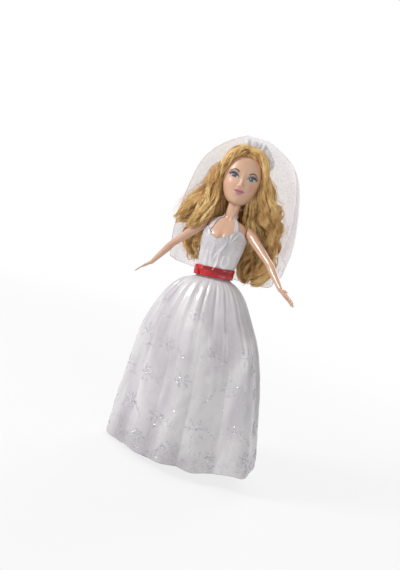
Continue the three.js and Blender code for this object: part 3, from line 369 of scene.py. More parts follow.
# Legs and shoes: each leg is one hard plastic moulding on tiptoe, pushed on the hip axle, and each
# court shoe is soft white plastic pulled over the foot. They keep the shapes that they were drawn
# with, and their edges are rounded off here as a mould's are.
def softened(piece, voxel, passes):
    """Gives a piece a new even skin and smooths it that many times."""
    remesh = piece.modifiers.new("skin", "REMESH")
    remesh.mode, remesh.voxel_size, remesh.use_smooth_shade = "VOXEL", voxel * mm, True
    soften = piece.modifiers.new("soften", "SMOOTH")
    soften.factor, soften.iterations = 0.5, passes


def rounded_off(cad_node, voxel, passes, finish):
    """Keeps a solid where it is, with a finer, softened surface and its real finish."""
    piece = frame["nodes"][cad_node]
    softened(piece, voxel, passes)
    finished(piece, finish)


white_shoe = plastic("white_shoe_plastic", (0.76, 0.75, 0.77), (0.84, 0.83, 0.85), 0.28, 0.4)[0]
for side in ("left", "right"):
    rounded_off(f"leg_{side}", 0.5, 25, body_plastic)
    rounded_off(f"shoe_{side}", 0.28, 4, white_shoe)

# Arms: each is one soft glossy moulding from the shoulder cap to the fingertips, pushed on a peg
# that is held in the body. The surface runs over limb, palm, fingers and thumb in one skin.
shoulder_out, shoulder_back, shoulder_radius, shoulder_seat = 23, 1, 5.3, 0.5
upper_length, fore_length, hand_length = 40.5, 29.5, 21
elbow_radius, wrist_radius = 3.6, 2.4
upper_spread, fore_spread, hand_spread = math.radians(43), math.radians(35), math.radians(50)
arm_swing = {"left": math.radians(43), "right": math.radians(-10)}
upper_shares = [(0.12, 0.95), (0.3, 0.9), (0.55, 0.82), (0.8, 0.7)]
fore_shares = [(0, 1), (0.25, 1.06), (0.6, 0.86)]
palm_shares = [(0.08, 0.66, 1.2), (0.22, 0.95, 1.05), (0.42, 1, 0.95), (0.55, 0.92, 0.72)]
palm_half, palm_thick = 3.2, 1.5
fingers = [  # place across the palm, length share, radius and sideways lean
    (-2.25, 0.43, 0.72, -0.07), (-0.75, 0.5, 0.76, -0.02),
    (0.75, 0.46, 0.74, 0.03), (2.15, 0.36, 0.64, 0.09),
]
thumb_places = [  # along the palm, out from its edge, and two radii
    (0, 0, 1.35, 1.15), (3, 2.4, 1.1, 1.0), (5.6, 3.9, 0.85, 0.78), (7.4, 4.7, 0.5, 0.45),
]


def unit(vectors):
    """Vectors brought to a length of one."""
    return vectors / np.linalg.norm(vectors, axis=-1, keepdims=True)


def square_to(path, across):
    """Two directions at each point of a path, square to it and to each other, the first towards across."""
    along = unit(np.gradient(path[:, :3], axis=0))
    side = unit(across - along * (along @ across)[:, None])
    return side, np.cross(along, side)


def all_round(count):
    """Evenly spaced angles over a full turn."""
    return np.linspace(0, 2 * math.pi, count, endpoint=False)


def skinned(places, across, sides=20, per_step=3):
    """Points of a tube with rings square to a smooth path; a place is a point and two radii."""
    keys = [(i, *at, a, b) for i, (at, a, b) in enumerate(places)]
    path = follow(keys, np.linspace(0, len(places) - 1, (len(places) - 1) * per_step + 1)).T
    side, other = square_to(path, across)
    angle = all_round(sides)
    ring = np.cos(angle)[None, :, None] * side[:, None] * path[:, None, 3:4]
    return path[:, None, :3] + ring + np.sin(angle)[None, :, None] * other[:, None] * path[:, None, 4:5]


def arm_tubes():
    """The left arm hanging straight in its own plane: limb, four fingers and a thumb."""
    def direction(spread):
        """The way that a limb points when it stands off the body by an angle."""
        return np.array([math.sin(spread), 0, -math.cos(spread)])

    upper, fore, palm = direction(upper_spread), direction(fore_spread), direction(hand_spread)
    shoulder = np.array([shoulder_out, 0, 0])
    seat = bust_half - shoulder_seat
    elbow = shoulder + upper * upper_length
    wrist = elbow + fore * fore_length
    limb = [((seat, 0, 0), shoulder_radius, shoulder_radius)]
    limb.append(((seat + 1.6, 0, -0.1), shoulder_radius * 1.01, shoulder_radius * 1.01))
    for share, wide in upper_shares:
        limb.append((shoulder + upper * upper_length * share, shoulder_radius * wide, shoulder_radius * wide))
    for share, wide in fore_shares:
        limb.append((elbow + fore * fore_length * share, elbow_radius * wide, elbow_radius * wide * 0.97))
    limb.append((wrist, wrist_radius * 1.1, wrist_radius * 0.9))
    for share, wide, thick in palm_shares:
        limb.append((wrist + palm * hand_length * share, palm_half * wide, palm_thick * thick))
    backward = np.array([0, 1.0, 0])
    tubes = [skinned(limb, backward, 28)]
    inward = np.cross(palm, backward)
    knuckles = ((0, 0, 1.02), (0.36, 0.01, 1.04), (0.72, 0.045, 0.9), (1, 0.1, 0.55))
    for across, length, radius, lean in fingers:
        root = wrist + palm * hand_length * 0.47 + backward * across
        places = []
        for share, curl, wide in knuckles:
            step = palm + backward * lean - inward * curl
            size = radius * wide
            places.append((root + step * hand_length * (length + 0.06) * share, size, size * 0.9))
        tubes.append(skinned(places, backward, 12))
    base = wrist + palm * hand_length * 0.14 - backward * 1.6
    thumb = [(base + palm * along - backward * out, wide, thick) for along, out, wide, thick in thumb_places]
    tubes.append(skinned(thumb, backward, 12))
    return tubes


def swung(points, side, swing):
    """Turns the arm about its peg, mirrors the right one and puts it at its shoulder."""
    x, y, z = points[..., 0], points[..., 1], points[..., 2]
    sine, cosine = math.sin(-swing), math.cos(-swing)
    mirror = 1 if side == "left" else -1
    forward = y * cosine - z * sine
    return np.stack([x * mirror, forward + shoulder_back, y * sine + z * cosine + shoulder_height], -1)


def applied(piece):
    """The piece with its modifiers worked into its mesh."""
    done = bpy.data.meshes.new_from_object(piece.evaluated_get(bpy.context.evaluated_depsgraph_get()))
    piece.modifiers.clear()
    piece.data = done
    return piece


def joined_skin(name, tubes, voxel, passes, finish):
    """One closed mesh over several tubes that run into each other, softened where they meet."""
    faces, first = [], 0
    for tube in tubes:
        rows, sides = tube.shape[:2]
        ring = np.arange(sides)
        both_ends = [ring[::-1].tolist(), ((rows - 1) * sides + ring).tolist()]
        faces += [[first + corner for corner in face] for face in grid_faces(rows, sides, True) + both_ends]
        first += rows * sides
    points = np.concatenate([tube.reshape(-1, 3) for tube in tubes])
    piece = mesh_object(name, points, faces, smooth=False)
    softened(piece, voxel, passes)
    finished(applied(piece), finish)
    return piece


arm_plastic = plastic("arm_plastic", (0.63, 0.365, 0.245), (0.70, 0.425, 0.295), 0.3, 0.5)[0]
for side in ("left", "right"):
    tubes = [swung(tube, side, arm_swing[side]) for tube in arm_tubes()]
    if side == "right":
        tubes = [tube[:, ::-1] for tube in tubes]
    arm = joined_skin(f"arm_{side}_moulding", tubes, 0.3, 3, arm_plastic)
    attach(arm, f"arm_{side}")
    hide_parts(f"arm_{side}")

# Bodice: white satin in a front and two back panels, cut to a sweetheart neckline and sewn at the
# sides, with gathered cups, soft creases down the front and hook-and-loop tape over the opening.
cloth, gown_gap, bodice_peak, waist_tilt, waist_ease = 0.9, 0.5, 43, 0.12, 1.6
neckline_twist = 0.12
neckline_shares = [(0, 0.76), (0.1, 0.86), (0.22, 1), (0.32, 0.985), (0.5, 0.85), (0.75, 0.77), (1, 0.73)]
cup_out, cup_rise, cup_reach = 10.2, 30.5, 7.5
front_creases = [  # place at mid height, lean, depth, width, and the heights that it runs between
    (-3.2, -0.08, 1.1, 1.4, 2, 26), (3.0, 0.2, 1.45, 1.05, 1, 31), (7.6, -0.12, 0.9, 1.5, 4, 23),
    (-8.4, -0.16, 1.0, 1.5, 1, 21), (12.4, 0.1, 0.8, 1.3, 6, 27), (-12.8, 0.08, 0.8, 1.3, 4, 26),
    (0.2, 0.3, 0.7, 1.1, 12, 28),
]


def satin_material(name, dark, pale, streak):
    """Satin: long warp floats give a silky gloss. Its colour runs in long upright streaks from a darker to a
    paler tone, painted sheen and shade, over a fine weave and soft creases.
    """
    made, tree, shader = material(name)
    place = place_on(tree)
    drawn = node(tree, "ShaderNodeMapping", Vector=place, Scale=(1, 1, 0.33))
    tone = node(tree, "ShaderNodeTexNoise", Scale=36, Detail=2, Distortion=0.5, Vector=drawn.outputs[0])
    weave = node(tree, "ShaderNodeTexWave", bands_direction="Z", Scale=1500, Distortion=0.4, Vector=place)
    creases = node(tree, "ShaderNodeTexNoise", Scale=streak, Detail=3, Vector=place)
    fine = bumped(tree, weave.outputs["Fac"], 0.05, 0.0001)
    soft = bumped(tree, creases.outputs["Fac"], 0.45, 0.0016)
    wired(soft, Normal=fine.outputs["Normal"])
    # The base colour is painted sheen and shade: upright streaks between the darker and the paler tone.
    wired(shader, Base_Color=toned(tree, tone.outputs["Fac"], (0.3, dark), (0.62, pale)),
          Normal=soft.outputs["Normal"], Roughness=0.27, Specular_IOR_Level=0.75,
          Sheen_Weight=0.25, Sheen_Roughness=0.35)
    return made


# Its darker and paler tones are the painted shade and sheen of the satin's streaks.
white_satin = satin_material("white_satin", (0.50, 0.47, 0.50), (0.76, 0.735, 0.75), 75)


def pushed_out(grid, angle, push):
    """Moves points on the body out of it, each by its own push, along its angle from the front."""
    grid[..., 0] += np.sin(angle) * push
    grid[..., 1] -= np.cos(angle) * push


def creased(x, rise):
    """How far the satin of the front stands out: creases, gathers round the cups and a dip under them."""
    crease = 0
    for at, lean, depth, width, low, high in front_creases:
        path = at + lean * (rise - 15) + 0.9 * np.sin(rise * (0.27 + 0.012 * at) + 1.7 * at)
        fade = 1 / (1 + np.exp(-(rise - low))) / (1 + np.exp((rise - high) / 2))
        crease = crease + depth * fade * bell(x - path, width)
    for centre in (-cup_out, cup_out):
        dx, dz = x - centre, rise - cup_rise
        reach, fan = np.hypot(dx, dz), np.arctan2(dz, dx)
        band = bell(reach - cup_reach, 4.2) * (rise > 20)
        ray = 15 * fan + 1.3 * np.sin(3 * fan + centre) + 0.3 * reach
        crease = crease + 0.5 * band * np.cos(ray + centre) * np.exp(-np.abs(fan - 1.3) / 1.8)
    crease = crease + 0.35 * np.sin(x * 0.42 + rise * 0.21 + 1) * np.sin(rise * 0.17 + x * 0.1)
    return crease - bell(rise - 19.5 - 0.03 * np.abs(x), 1.3) * 0.3


def bodice_panel(name, cad_node, start, end, columns):
    """A panel of the bodice between two angles, with its creases, seams and turned edge."""
    angle = np.linspace(start, end, columns)[None, :]
    share = np.linspace(0, 1, 110)[:, None]
    from_dip = angle + neckline_twist
    (top,) = follow(neckline_shares, np.abs(np.arctan2(np.sin(from_dip), np.cos(from_dip))) / math.pi)
    waist_x = body_point(angle, waist_height)[..., 0]
    height = waist_height + 0.2 + (top * bodice_peak - 0.2) * share + waist_x * waist_tilt
    loose = waist_ease * bell(height - waist_height - 6, 11)
    grid = body_point(angle, height, gown_gap + cloth + loose)
    rise = height - waist_height
    behind = 0.25 * np.sin(rise * 0.7 + angle * 9) * share * (1 - share)
    edge = bell((1 - share) * top * bodice_peak, 0.9) * 0.35
    pushed_out(grid, angle, np.where(np.cos(angle) > 0.1, creased(grid[..., 0], rise), behind) + edge)
    panel = grid_object(name, grid, white_satin)
    thicken(panel, cloth)
    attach(panel, "torso")
    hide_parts(cad_node)
    return panel


side_seam, seam_gap = math.radians(101), 0.015
front_panel = bodice_panel("bodice_front_panel", "bodice_front", -side_seam, side_seam, 260)
for name, start, end in (
    ("left", side_seam + seam_gap, math.pi - seam_gap), ("right", seam_gap - math.pi, -side_seam - seam_gap),
):
    back_panel = bodice_panel(f"bodice_back_panel_{name}", f"bodice_back_{name}", start, end, 90)


def body_band(name, finish, start, end, low, high, offset, columns, rows=9,
              around=False, bulge=0.0, slant=0.0):
    """A band of cloth on the body between two angles and two heights above the waist."""
    share = np.linspace(0, 1, rows)[:, None]
    angle = np.linspace(start, end, columns, endpoint=not around)[None, :] + slant * (0.5 - share)
    lift = body_point(angle, waist_height)[..., 0] * waist_tilt
    rise = low + (high - low) * share
    grid = body_point(angle + 0 * share, waist_height + rise, offset)
    swell = bulge * (1 - (2 * share - 1) ** 2)
    if around:
        roll = 0.3 * np.sin(4 * angle + 7 * share) + 0.16 * np.sin(11 * angle - 8 * share)
        swell = swell + roll * np.sin(math.pi * share) ** 0.5
    pushed_out(grid, angle, swell)
    grid[..., 2] += lift
    return grid_object(name, grid, finish, around=around)


hook_tape, tree, shader = material("hook_and_loop_tape")
loops = node(tree, "ShaderNodeTexVoronoi", Scale=2200, Vector=place_on(tree)).outputs["Distance"]
# The pile is painted darker where its bump sinks: painted shade in the hollows between the loops.
wired(shader, Base_Color=toned(tree, loops, (0, (0.62, 0.61, 0.6)), (1, (0.82, 0.81, 0.8))),
      Normal=bumped(tree, loops, 0.6, 0.0003).outputs["Normal"], Roughness=0.95)
tape_width, tape_thick = 4.4, 0.5
half_tape = tape_width / 2 / bust_back
tape_low, tape_high = 7, bodice_peak * 0.7
tape = body_band("back_closure_tape", hook_tape, math.pi - half_tape, math.pi + half_tape,
                 tape_low, tape_high, gown_gap + cloth + fit_gap + tape_thick, 14, rows=40)
thicken(tape, tape_thick)
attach(tape, "torso")
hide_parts("back_closure")

# Ribbon: a red satin ribbon stitched round the waist, with its free end folded over on the slant
# beside the middle. Its edges are woven; its red is painted in long shaded and sheen streaks along it.
ribbon_width, ribbon_drop, ribbon_thick = 9.5, 3.4, 0.8
ribbon_outer = gown_gap + cloth + waist_ease + 2 * fit_gap + ribbon_thick
ribbon_top = ribbon_width - ribbon_drop
red_satin, tree, shader = material("red_satin_ribbon")
place = place_on(tree)
drawn = node(tree, "ShaderNodeMapping", Vector=place, Scale=(0.5, 0.5, 2))
tone = node(tree, "ShaderNodeTexNoise", Scale=110, Detail=2, Distortion=0.6, Vector=drawn.outputs[0])
weave = node(tree, "ShaderNodeTexWave", bands_direction="Z", Scale=1300, Distortion=0.3, Vector=place)
# Painted sheen: long streaks along the ribbon run from a shaded red to a brighter sheen red.
shaded_ribbon_red, sheen_ribbon_red = (0.27, 0.002, 0.006), (0.62, 0.010, 0.016)
wired(shader, Base_Color=toned(tree, tone.outputs["Fac"], (0.34, shaded_ribbon_red), (0.66, sheen_ribbon_red)),
      Normal=bumped(tree, weave.outputs["Fac"], 0.12, 0.0001).outputs["Normal"],
      Roughness=0.24, Specular_IOR_Level=0.5)
ribbon = body_band("waist_ribbon_band", red_satin, 0, 2 * math.pi, -ribbon_drop, ribbon_top,
                   ribbon_outer, 160, rows=15, around=True, bulge=0.35)
thicken(ribbon, ribbon_thick)
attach(ribbon, "torso")
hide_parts("waist_ribbon")
fold = body_band("ribbon_folded_end", red_satin, math.radians(-72), math.radians(-43),
                 -ribbon_drop * 0.8, ribbon_top - ribbon_drop * 0.2, ribbon_outer + fit_gap + ribbon_thick,
                 30, rows=15, bulge=0.3, slant=0.42)
thicken(fold, ribbon_thick)
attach(fold, "torso")
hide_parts("ribbon_fold")

# Straps: two narrow halter straps of sheer white tulle. They are gathered at the cups, where they
# are sewn inside the edge, lie flat on the chest and meet at the nape.
def tulle(name, mesh_size, thread, hole, tone_scale, low, high, **values):
    """Hexagonal tulle: a net of fine threads, mostly clear between them, with a slow change of tone."""
    made, tree, shader = material(name)
    place = place_on(tree)
    net = node(tree, "ShaderNodeTexVoronoi", feature="DISTANCE_TO_EDGE", Scale=mesh_size, Vector=place)
    tone = node(tree, "ShaderNodeTexNoise", Scale=tone_scale, Detail=2, Vector=place)
    wired(shader, Alpha=toned(tree, net.outputs["Distance"], thread, hole),
          Base_Color=toned(tree, tone.outputs["Fac"], (0, low), (1, high)), **values)
    return made


sheer_tulle = tulle("sheer_tulle", 1500, (0.05, (0.85, 0.85, 0.85)), (0.25, (0.42, 0.42, 0.42)),
                    300, (0.80, 0.75, 0.77), (0.90, 0.87, 0.88), Roughness=0.6)
strap_width, strap_thick, strap_hidden = 3.5, 0.5, 2.5
strap_shares = [
    (0, 0.215, 0), (0.25, 0.19, 0.33), (0.45, 0.19, 0.62), (0.6, 0.28, 0.84),
    (0.75, 0.5, 0.97), (0.88, 0.78, 1.04), (1, 0.985, 1.06),
]


def surface_frame(angle, height):
    """Points of the body, how they move with the angle and the height, and the way out of it."""
    at = body_point(angle, height)
    by_angle = (body_point(angle + 0.01, height) - body_point(angle - 0.01, height)) / 0.02
    by_height = (body_point(angle, height + 0.1) - body_point(angle, height - 0.1)) / 0.2
    return at, by_angle, by_height, unit(np.cross(by_angle, by_height))


def strap(side):
    """One strap: it leaves the inside of the cup, lies flat on the chest and goes round the nape."""
    share = np.linspace(0, 1, 110)
    turn, rise = follow(strap_shares, share)
    (cup,) = follow(neckline_shares, np.array([strap_shares[0][1]]))
    cup_x = body_point(np.array(strap_shares[0][1] * math.pi), np.array(waist_height))[0]
    low = waist_height + cup[0] * bodice_peak + side * cup_x * waist_tilt - strap_hidden
    high = neck_height + strap_width * 0.7
    angle = side * turn * math.pi - neckline_twist * (1 - share)
    height = low + rise * (high - low)
    at, by_angle, by_height, out = surface_frame(angle, height)
    along = unit(np.gradient(at, axis=0))
    across = np.cross(along, out)
    width = strap_width * (0.78 + 0.55 * bell(share, 0.4))
    k = np.linspace(-0.5, 0.5, 31)
    across_angle = ((across * by_angle).sum(1) / (by_angle**2).sum(1))[:, None]
    across_height = ((across * by_height).sum(1) / (by_height**2).sum(1))[:, None]
    reach = k[None, :] * width[:, None]
    strip_angle, strip_height = angle[:, None] + reach * across_angle, height[:, None] + reach * across_height
    lain, *_, up = surface_frame(strip_angle, strip_height)
    pleat = 0.07 * np.cos(k * 5 * 2 * math.pi)[None, :]
    pleat = pleat + 0.05 * np.sin(share * 60 + side)[:, None] * np.cos(k * 9)[None, :]
    lift = 0.12 + (strap_thick + fit_gap) * np.clip(share / 0.06, 0, 1)[:, None] + pleat
    name = "left" if side > 0 else "right"
    made = grid_object(f"halter_strap_{name}", lain + up * lift[..., None], sheer_tulle)
    applied(thicken(made, 0.2))
    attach(made, "torso")
    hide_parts(f"strap_{name}")


for side in (1, -1):
    strap(side)

# Skirt: one closed round of white satin, gathered into the waist seam under the ribbon. It falls in
# broad soft folds, leans a little to the doll's left and ends in a narrow rippled hem.
# A row of shares gives the depth, how full it is, its lean, its gathers and its folds.
skirt_half_width, skirt_half_depth, skirt_shift, skirt_raise, front_raise = 73.5, 42, 18.5, 16, 6.5
waistband, hem_thick = 4.6, 0.5
half_gathers, half_drapes = 9.5, 5.5
skirt_shares = [
    (0, 0, 0, 1, 0), (0.035, 0.2, 0, 1, 0.05), (0.1, 0.37, 0.02, 0.8, 0.2), (0.19, 0.52, 0.09, 0.5, 0.35),
    (0.28, 0.65, 0.2, 0.25, 0.5), (0.37, 0.74, 0.32, 0.1, 0.6), (0.5, 0.815, 0.5, 0, 0.72),
    (0.64, 0.875, 0.66, 0, 0.84), (0.78, 0.93, 0.8, 0, 0.94), (0.9, 0.975, 0.92, 0, 1), (1, 1, 1, 0, 1),
]


def skirt_point(angle, depth, offset=0.0):
    """A point on the skirt at an angle from the front and a depth share from waist to hem."""
    angle, depth = np.broadcast_arrays(angle, depth)
    full, shift, gather, fold = follow(skirt_shares, depth)
    start = body_point(angle, waist_height - waistband, gown_gap + cloth)
    begun = np.minimum(1, depth / 0.08)
    wave = 0.6 * np.cos(5 * angle + 0.7) + 0.4 * np.cos(8 * angle - 1.1)
    gathered = np.abs(np.cos(half_gathers * angle + 0.9 * np.sin(3 * angle + 1) + 0.6 * np.sin(5 * angle)))
    fine = (1.7 + 0.8 * np.sin(3 * angle + 2)) * (gathered - 0.55)
    fine = fine + 0.3 * np.cos(41 * angle + 3 * np.sin(2 * angle))
    fine = fine * begun * bell(depth, 0.4, 1.5)
    draped = np.abs(np.cos(half_drapes * angle + 0.8 * np.sin(2 * angle + 0.5) + 0.5 * depth)) - 0.64
    draped = draped * (2.0 + 1.2 * np.sin(2 * angle + 1))
    soft = 0.5 * np.sin(11 * angle + 3 * depth + 1) * np.sin(math.pi * np.clip(depth * 1.1, 0, 1))
    soft = soft + 0.35 * np.sin(19 * angle - 5 * depth) * depth * (1.2 - depth)
    pucker = 0.22 * np.sin(60 * depth + 7 * np.sin(4 * angle)) * np.cos(7 * angle + 9 * depth) * depth
    extra = offset + 0.5 * gather * begun * np.cos(14 * angle) + fold * (4.6 * wave + draped)
    extra = extra + fine + soft + pucker
    sine, cosine = np.sin(angle), np.cos(angle)
    x = start[..., 0] + (skirt_half_width * sine - start[..., 0]) * full + extra * sine + skirt_shift * shift
    y = start[..., 1] + (-skirt_half_depth * cosine - start[..., 1]) * full - extra * cosine
    side = (1 + sine) / 2
    hem = skirt_raise * side**3 + 1.2 * (1 + np.cos(7 * angle)) * side
    hem = hem + 0.7 * (1 + np.sin(9 * angle + 1)) + 0.4 * (1 + np.sin(17 * angle))
    hem = hem + front_raise * np.maximum(0, cosine) * (1 - side**3)
    top = waist_height - waistband
    z = top + (hem - top) * depth + start[..., 0] * waist_tilt * (1 - depth) ** 4
    return np.stack([x, y, z], -1)


skirt_angle = all_round(460)[None, :]
skirt_depth = (np.linspace(0, 1, 190) ** 1.15)[:, None]
skirt_grid = skirt_point(skirt_angle, skirt_depth, -0.2)
band_top = body_point(skirt_angle, np.full((1, 1), waist_height - fit_gap), gown_gap + cloth)
band_top[..., 2] += body_point(skirt_angle, np.full((1, 1), float(waist_height)))[..., 0] * waist_tilt
skirt = grid_object("skirt_of_satin", np.concatenate([band_top, skirt_grid]), white_satin, around=True)
applied(thicken(skirt, hem_thick))
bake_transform(skirt)
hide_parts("skirt")

# Glitter: flat silver flakes glued on the skirt's satin in six-armed stars, branching sprays and
# scattered dots, closer together towards the hem, where they run round in a band.
silver_glitter, tree, shader = material("silver_glitter")
tone = node(tree, "ShaderNodeTexWhiteNoise", Vector=place_on(tree)).outputs["Value"]
wired(shader, Base_Color=toned(tree, tone, (0, (0.24, 0.24, 0.25)), (1, (0.72, 0.72, 0.75))),
      Metallic=0.6, Roughness=0.32)
flakes = random.Random(11)
flake_places = []
flake_lift, hem_radius, skirt_drop = 0.12, 60, 175


def dot(angle, depth, spread=0.0, chance=1.0):
    """Puts a flake at an angle and depth, unless chance leaves it out."""
    if flakes.random() < chance and 0.02 < depth < 0.995:
        aside, along = flakes.gauss(0, spread), flakes.gauss(0, spread)
        flake_places.append((angle + aside / hem_radius, depth + along / skirt_drop))


def around_radius(depth):
    """Radius of the skirt at a depth, as a mean of its width and its depth."""
    return 16 + 46 * min(1, depth * 1.6) ** 0.8


def moved(angle, depth, direction, reach):
    """The place on the cloth that lies some millimetres away in a direction."""
    across, up = reach * math.cos(direction), reach * math.sin(direction)
    return angle + across / around_radius(depth), depth - up / skirt_drop


def line(angle, depth, direction, length, step=0.5, chance=0.9):
    """Flakes along a straight line on the cloth, in millimetres; returns its end."""
    reach = 0
    while reach < length:
        dot(*moved(angle, depth, direction, reach), 0.12, chance)
        reach += step
    return moved(angle, depth, direction, length)


def star(angle, depth, size):
    """A six-armed star with two pairs of side twigs on every arm."""
    lean = flakes.uniform(0, math.pi / 3)
    for arm in range(6):
        direction = lean + arm * math.pi / 3
        line(angle, depth, direction, size)
        for share, twig in ((0.45, 0.32), (0.72, 0.24)):
            fork = moved(angle, depth, direction, size * share)
            for side in (1, -1):
                line(*fork, direction + 0.9 * side, size * twig, 0.7)


def spray(angle, depth, direction, size):
    """A curving twig with short side twigs, each ending in a dot."""
    for k in range(9):
        direction += 0.13
        angle, depth = line(angle, depth, direction, size / 9, 0.7, 0.8)
        side = 1 if k % 2 else -1
        tip = line(angle, depth, direction + side * 0.85, size * 0.17 * (1 - k / 12), 0.75, 0.75)
        dot(*tip, 0.3)


star_rows = [(0.2, 6, 6), (0.38, 9, 9), (0.57, 10, 11), (0.76, 11, 10), (0.9, 12, 8)]
for row, (depth, count, size) in enumerate(star_rows):
    for k in range(count):
        angle = (k + 0.5 * (row % 2) + flakes.uniform(-0.12, 0.12)) * 2 * math.pi / count
        star(angle, depth + flakes.uniform(-0.035, 0.035), size * flakes.uniform(0.6, 1.2))
        spray(angle + math.pi / count, depth + 0.06, flakes.choice((0.4, 1.9, 2.6)), size * 1.9)
loose_dots, hem_dots = 1500, 2600
for _ in range(loose_dots):
    dot(flakes.uniform(0, 2 * math.pi), flakes.uniform(0.12, 0.99) ** 0.8)
for _ in range(hem_dots):
    dot(flakes.uniform(0, 2 * math.pi), 1 - abs(flakes.gauss(0, 0.045)) - 0.012)
at_angle, at_depth = np.array(flake_places).T
base = skirt_point(at_angle, at_depth, flake_lift)
along_hem = unit(skirt_point(at_angle + 0.01, at_depth, flake_lift) - base)
down = unit(skirt_point(at_angle, at_depth + 0.004, flake_lift) - base)
out = np.cross(down, along_hem)
skirt_heart = (9, 0, 90)
out *= np.sign((out * (base - skirt_heart)).sum(1))[:, None]
rng = np.random.default_rng(5)
spin, size = rng.uniform(0, 2 * math.pi, len(base)), rng.uniform(0.22, 0.5, len(base))
tilt = rng.normal(0, 0.32, (len(base), 2))
u = along_hem * np.cos(spin)[:, None] + down * np.sin(spin)[:, None] + out * tilt[:, :1]
v = down * np.cos(spin)[:, None] - along_hem * np.sin(spin)[:, None] + out * tilt[:, 1:]
square = ((-1, -1), (1, -1), (1, 1), (-1, 1))
corners = [base + out * 0.16 + (u * a + v * b) * size[:, None] for a, b in square]
faces = np.arange(4 * len(base)).reshape(-1, 4).tolist()
glitter = mesh_object("skirt_glitter", np.stack(corners, 1), faces, silver_glitter, smooth=False)
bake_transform(glitter)

# Head: one soft hollow vinyl moulding pushed over the neck knob, with its face in relief. It is
# turned a little to its right, and what is fixed to it is placed in the same turned frame.
# A row of shares gives the height, then the half width and the reach to the front and to the back.
head_turn = math.radians(14)
head_tall, face_half, face_front, skull_back, head_squareness, nape_rise = 47.5, 18.3, 17.8, 18.5, 2.15, 3
head_shares = [
    (0, 0.3, 0.64, 0.38), (0.025, 0.42, 0.76, 0.43), (0.06, 0.53, 0.83, 0.48), (0.13, 0.67, 0.9, 0.58),
    (0.23, 0.8, 0.955, 0.7), (0.35, 0.91, 0.96, 0.83), (0.5, 0.985, 0.93, 0.95), (0.62, 1, 0.95, 1),
    (0.75, 0.95, 0.91, 1), (0.86, 0.85, 0.81, 0.9), (0.94, 0.66, 0.62, 0.7), (1, 0.18, 0.18, 0.2),
]


def in_turned_frame(points):
    """Turns head-frame millimetres about the neck into the doll's frame."""
    sine, cosine = math.sin(head_turn), math.cos(head_turn)
    x, y = points[..., 0], points[..., 1]
    return np.stack([
        x * cosine - y * sine - neck_forward * sine,
        x * sine + y * cosine + neck_forward * (cosine - 1),
        points[..., 2],
    ], -1)


def head_point(angle, share, grow=0.0):
    """A point on the head at an angle from its front and a share of its height."""
    angle, share = np.broadcast_arrays(angle, share)
    half, front, back = follow(head_shares, share)
    across, along = rounded(angle, head_squareness)
    reach = np.where(along > 0, front * face_front, back * skull_back) + grow
    y = -reach * along
    z = chin_height + head_tall * share + grow * (2 * share - 1)
    z = z + nape_rise * (1 - share) ** 2 * (y + face_front) / (face_front + skull_back)
    return np.stack([(half * face_half + grow) * across, y, z], -1)


eye_x, eye_z, eye_start, eye_long = 8.1, 25.1, 4.0, 8.4
eye_corner, eye_slant, mouth_up, mouth_bend = 24.2, 1.5, 11.9, 0.03
face_relief = [  # across, up from the chin, half-width, half-height, height; both sides where across > 0
    (0, 17.8, 1.6, 1.7, 2.5), (0, 21.4, 1.5, 3.2, 1.2), (0, 26.6, 1.9, 3.4, 0.7),
    (1.9, 17.0, 0.95, 1.05, 1.0), (0.95, 16.0, 0.5, 0.32, -0.45), (0, 15.1, 0.55, 0.8, -0.25),
    (eye_x, eye_z + 0.4, 4.9, 3.5, -1.1), (eye_x, eye_z, 3.8, 2.1, 0.75), (9.2, 30.0, 5.4, 2.2, 0.5),
    (10.6, 16.2, 4.4, 4.6, 0.6), (1.6, 13.4, 1.8, 0.8, 0.5), (0, 13.0, 3.8, 0.9, 0.45),
    (0, 10.4, 3.3, 1.2, 1.05), (5.5, 11.8, 0.9, 0.9, -0.3), (0, 7.8, 3.2, 0.9, -0.5),
    (0, 3.7, 3.6, 2.7, 0.9), (4.6, 14.1, 1.1, 2.3, -0.2),
]


def upper_lid(t):
    """Height of the upper lid above the chin, as t runs from the inner to the outer corner."""
    return eye_corner + eye_slant * t + 1.62 * np.sin(math.pi * np.clip(t, 0, 1)) ** 0.72


def lower_lid(t):
    """Height of the lower lid above the chin."""
    return eye_corner + eye_slant * t - 1.2 * np.sin(math.pi * np.clip(t, 0, 1)) ** 0.85


def relief(x, up):
    """How far the face stands out of the plain head, from the brow to the chin."""
    total = 0
    for at, height, wide, tall, stand in face_relief:
        for side in (1, -1) if at else (1,):
            total = total + stand * np.exp(-(((x - side * at) / wide) ** 2) - ((up - height) / tall) ** 2)
    mouth = mouth_up + mouth_bend * x**2
    total = total - 0.5 * bell(up - mouth, 0.32) * bell(x, 4.6, 6)
    for side in (1, -1):
        t = (side * x - eye_start) / eye_long
        crease = upper_lid(t) + 1.15
        total = total - 0.22 * bell(up - crease, 0.3) * bell(t - 0.52, 0.46, 6)
    return total


across_share = np.linspace(-1, 1, 340, endpoint=False)[None, :]
head_angle = math.pi * (0.6 * across_share + 0.4 * across_share**3)
rise_share = np.linspace(0, 1, 230)[:, None]
head_grid = head_point(head_angle, rise_share)
front_mask = np.clip(np.cos(head_angle) * 1.6, 0, 1) ** 0.7
head_grid[..., 1] -= relief(head_grid[..., 0], head_grid[..., 2] - chin_height) * front_mask
neck_ring = head_point(head_angle, np.zeros((1, 1)))
under, neck_hole = [], 6.7
hole = np.stack([
    neck_hole * np.sin(head_angle), -neck_hole * np.cos(head_angle) - neck_forward, neck_ring[..., 2],
], -1)
for share, lift in ((0.0, 1.2), (0.35, 0.5), (0.75, 0.15)):
    ring = hole + (neck_ring - hole) * share
    ring[..., 2] += lift
    under.append(ring)
head_grid = np.concatenate([*under, head_grid])

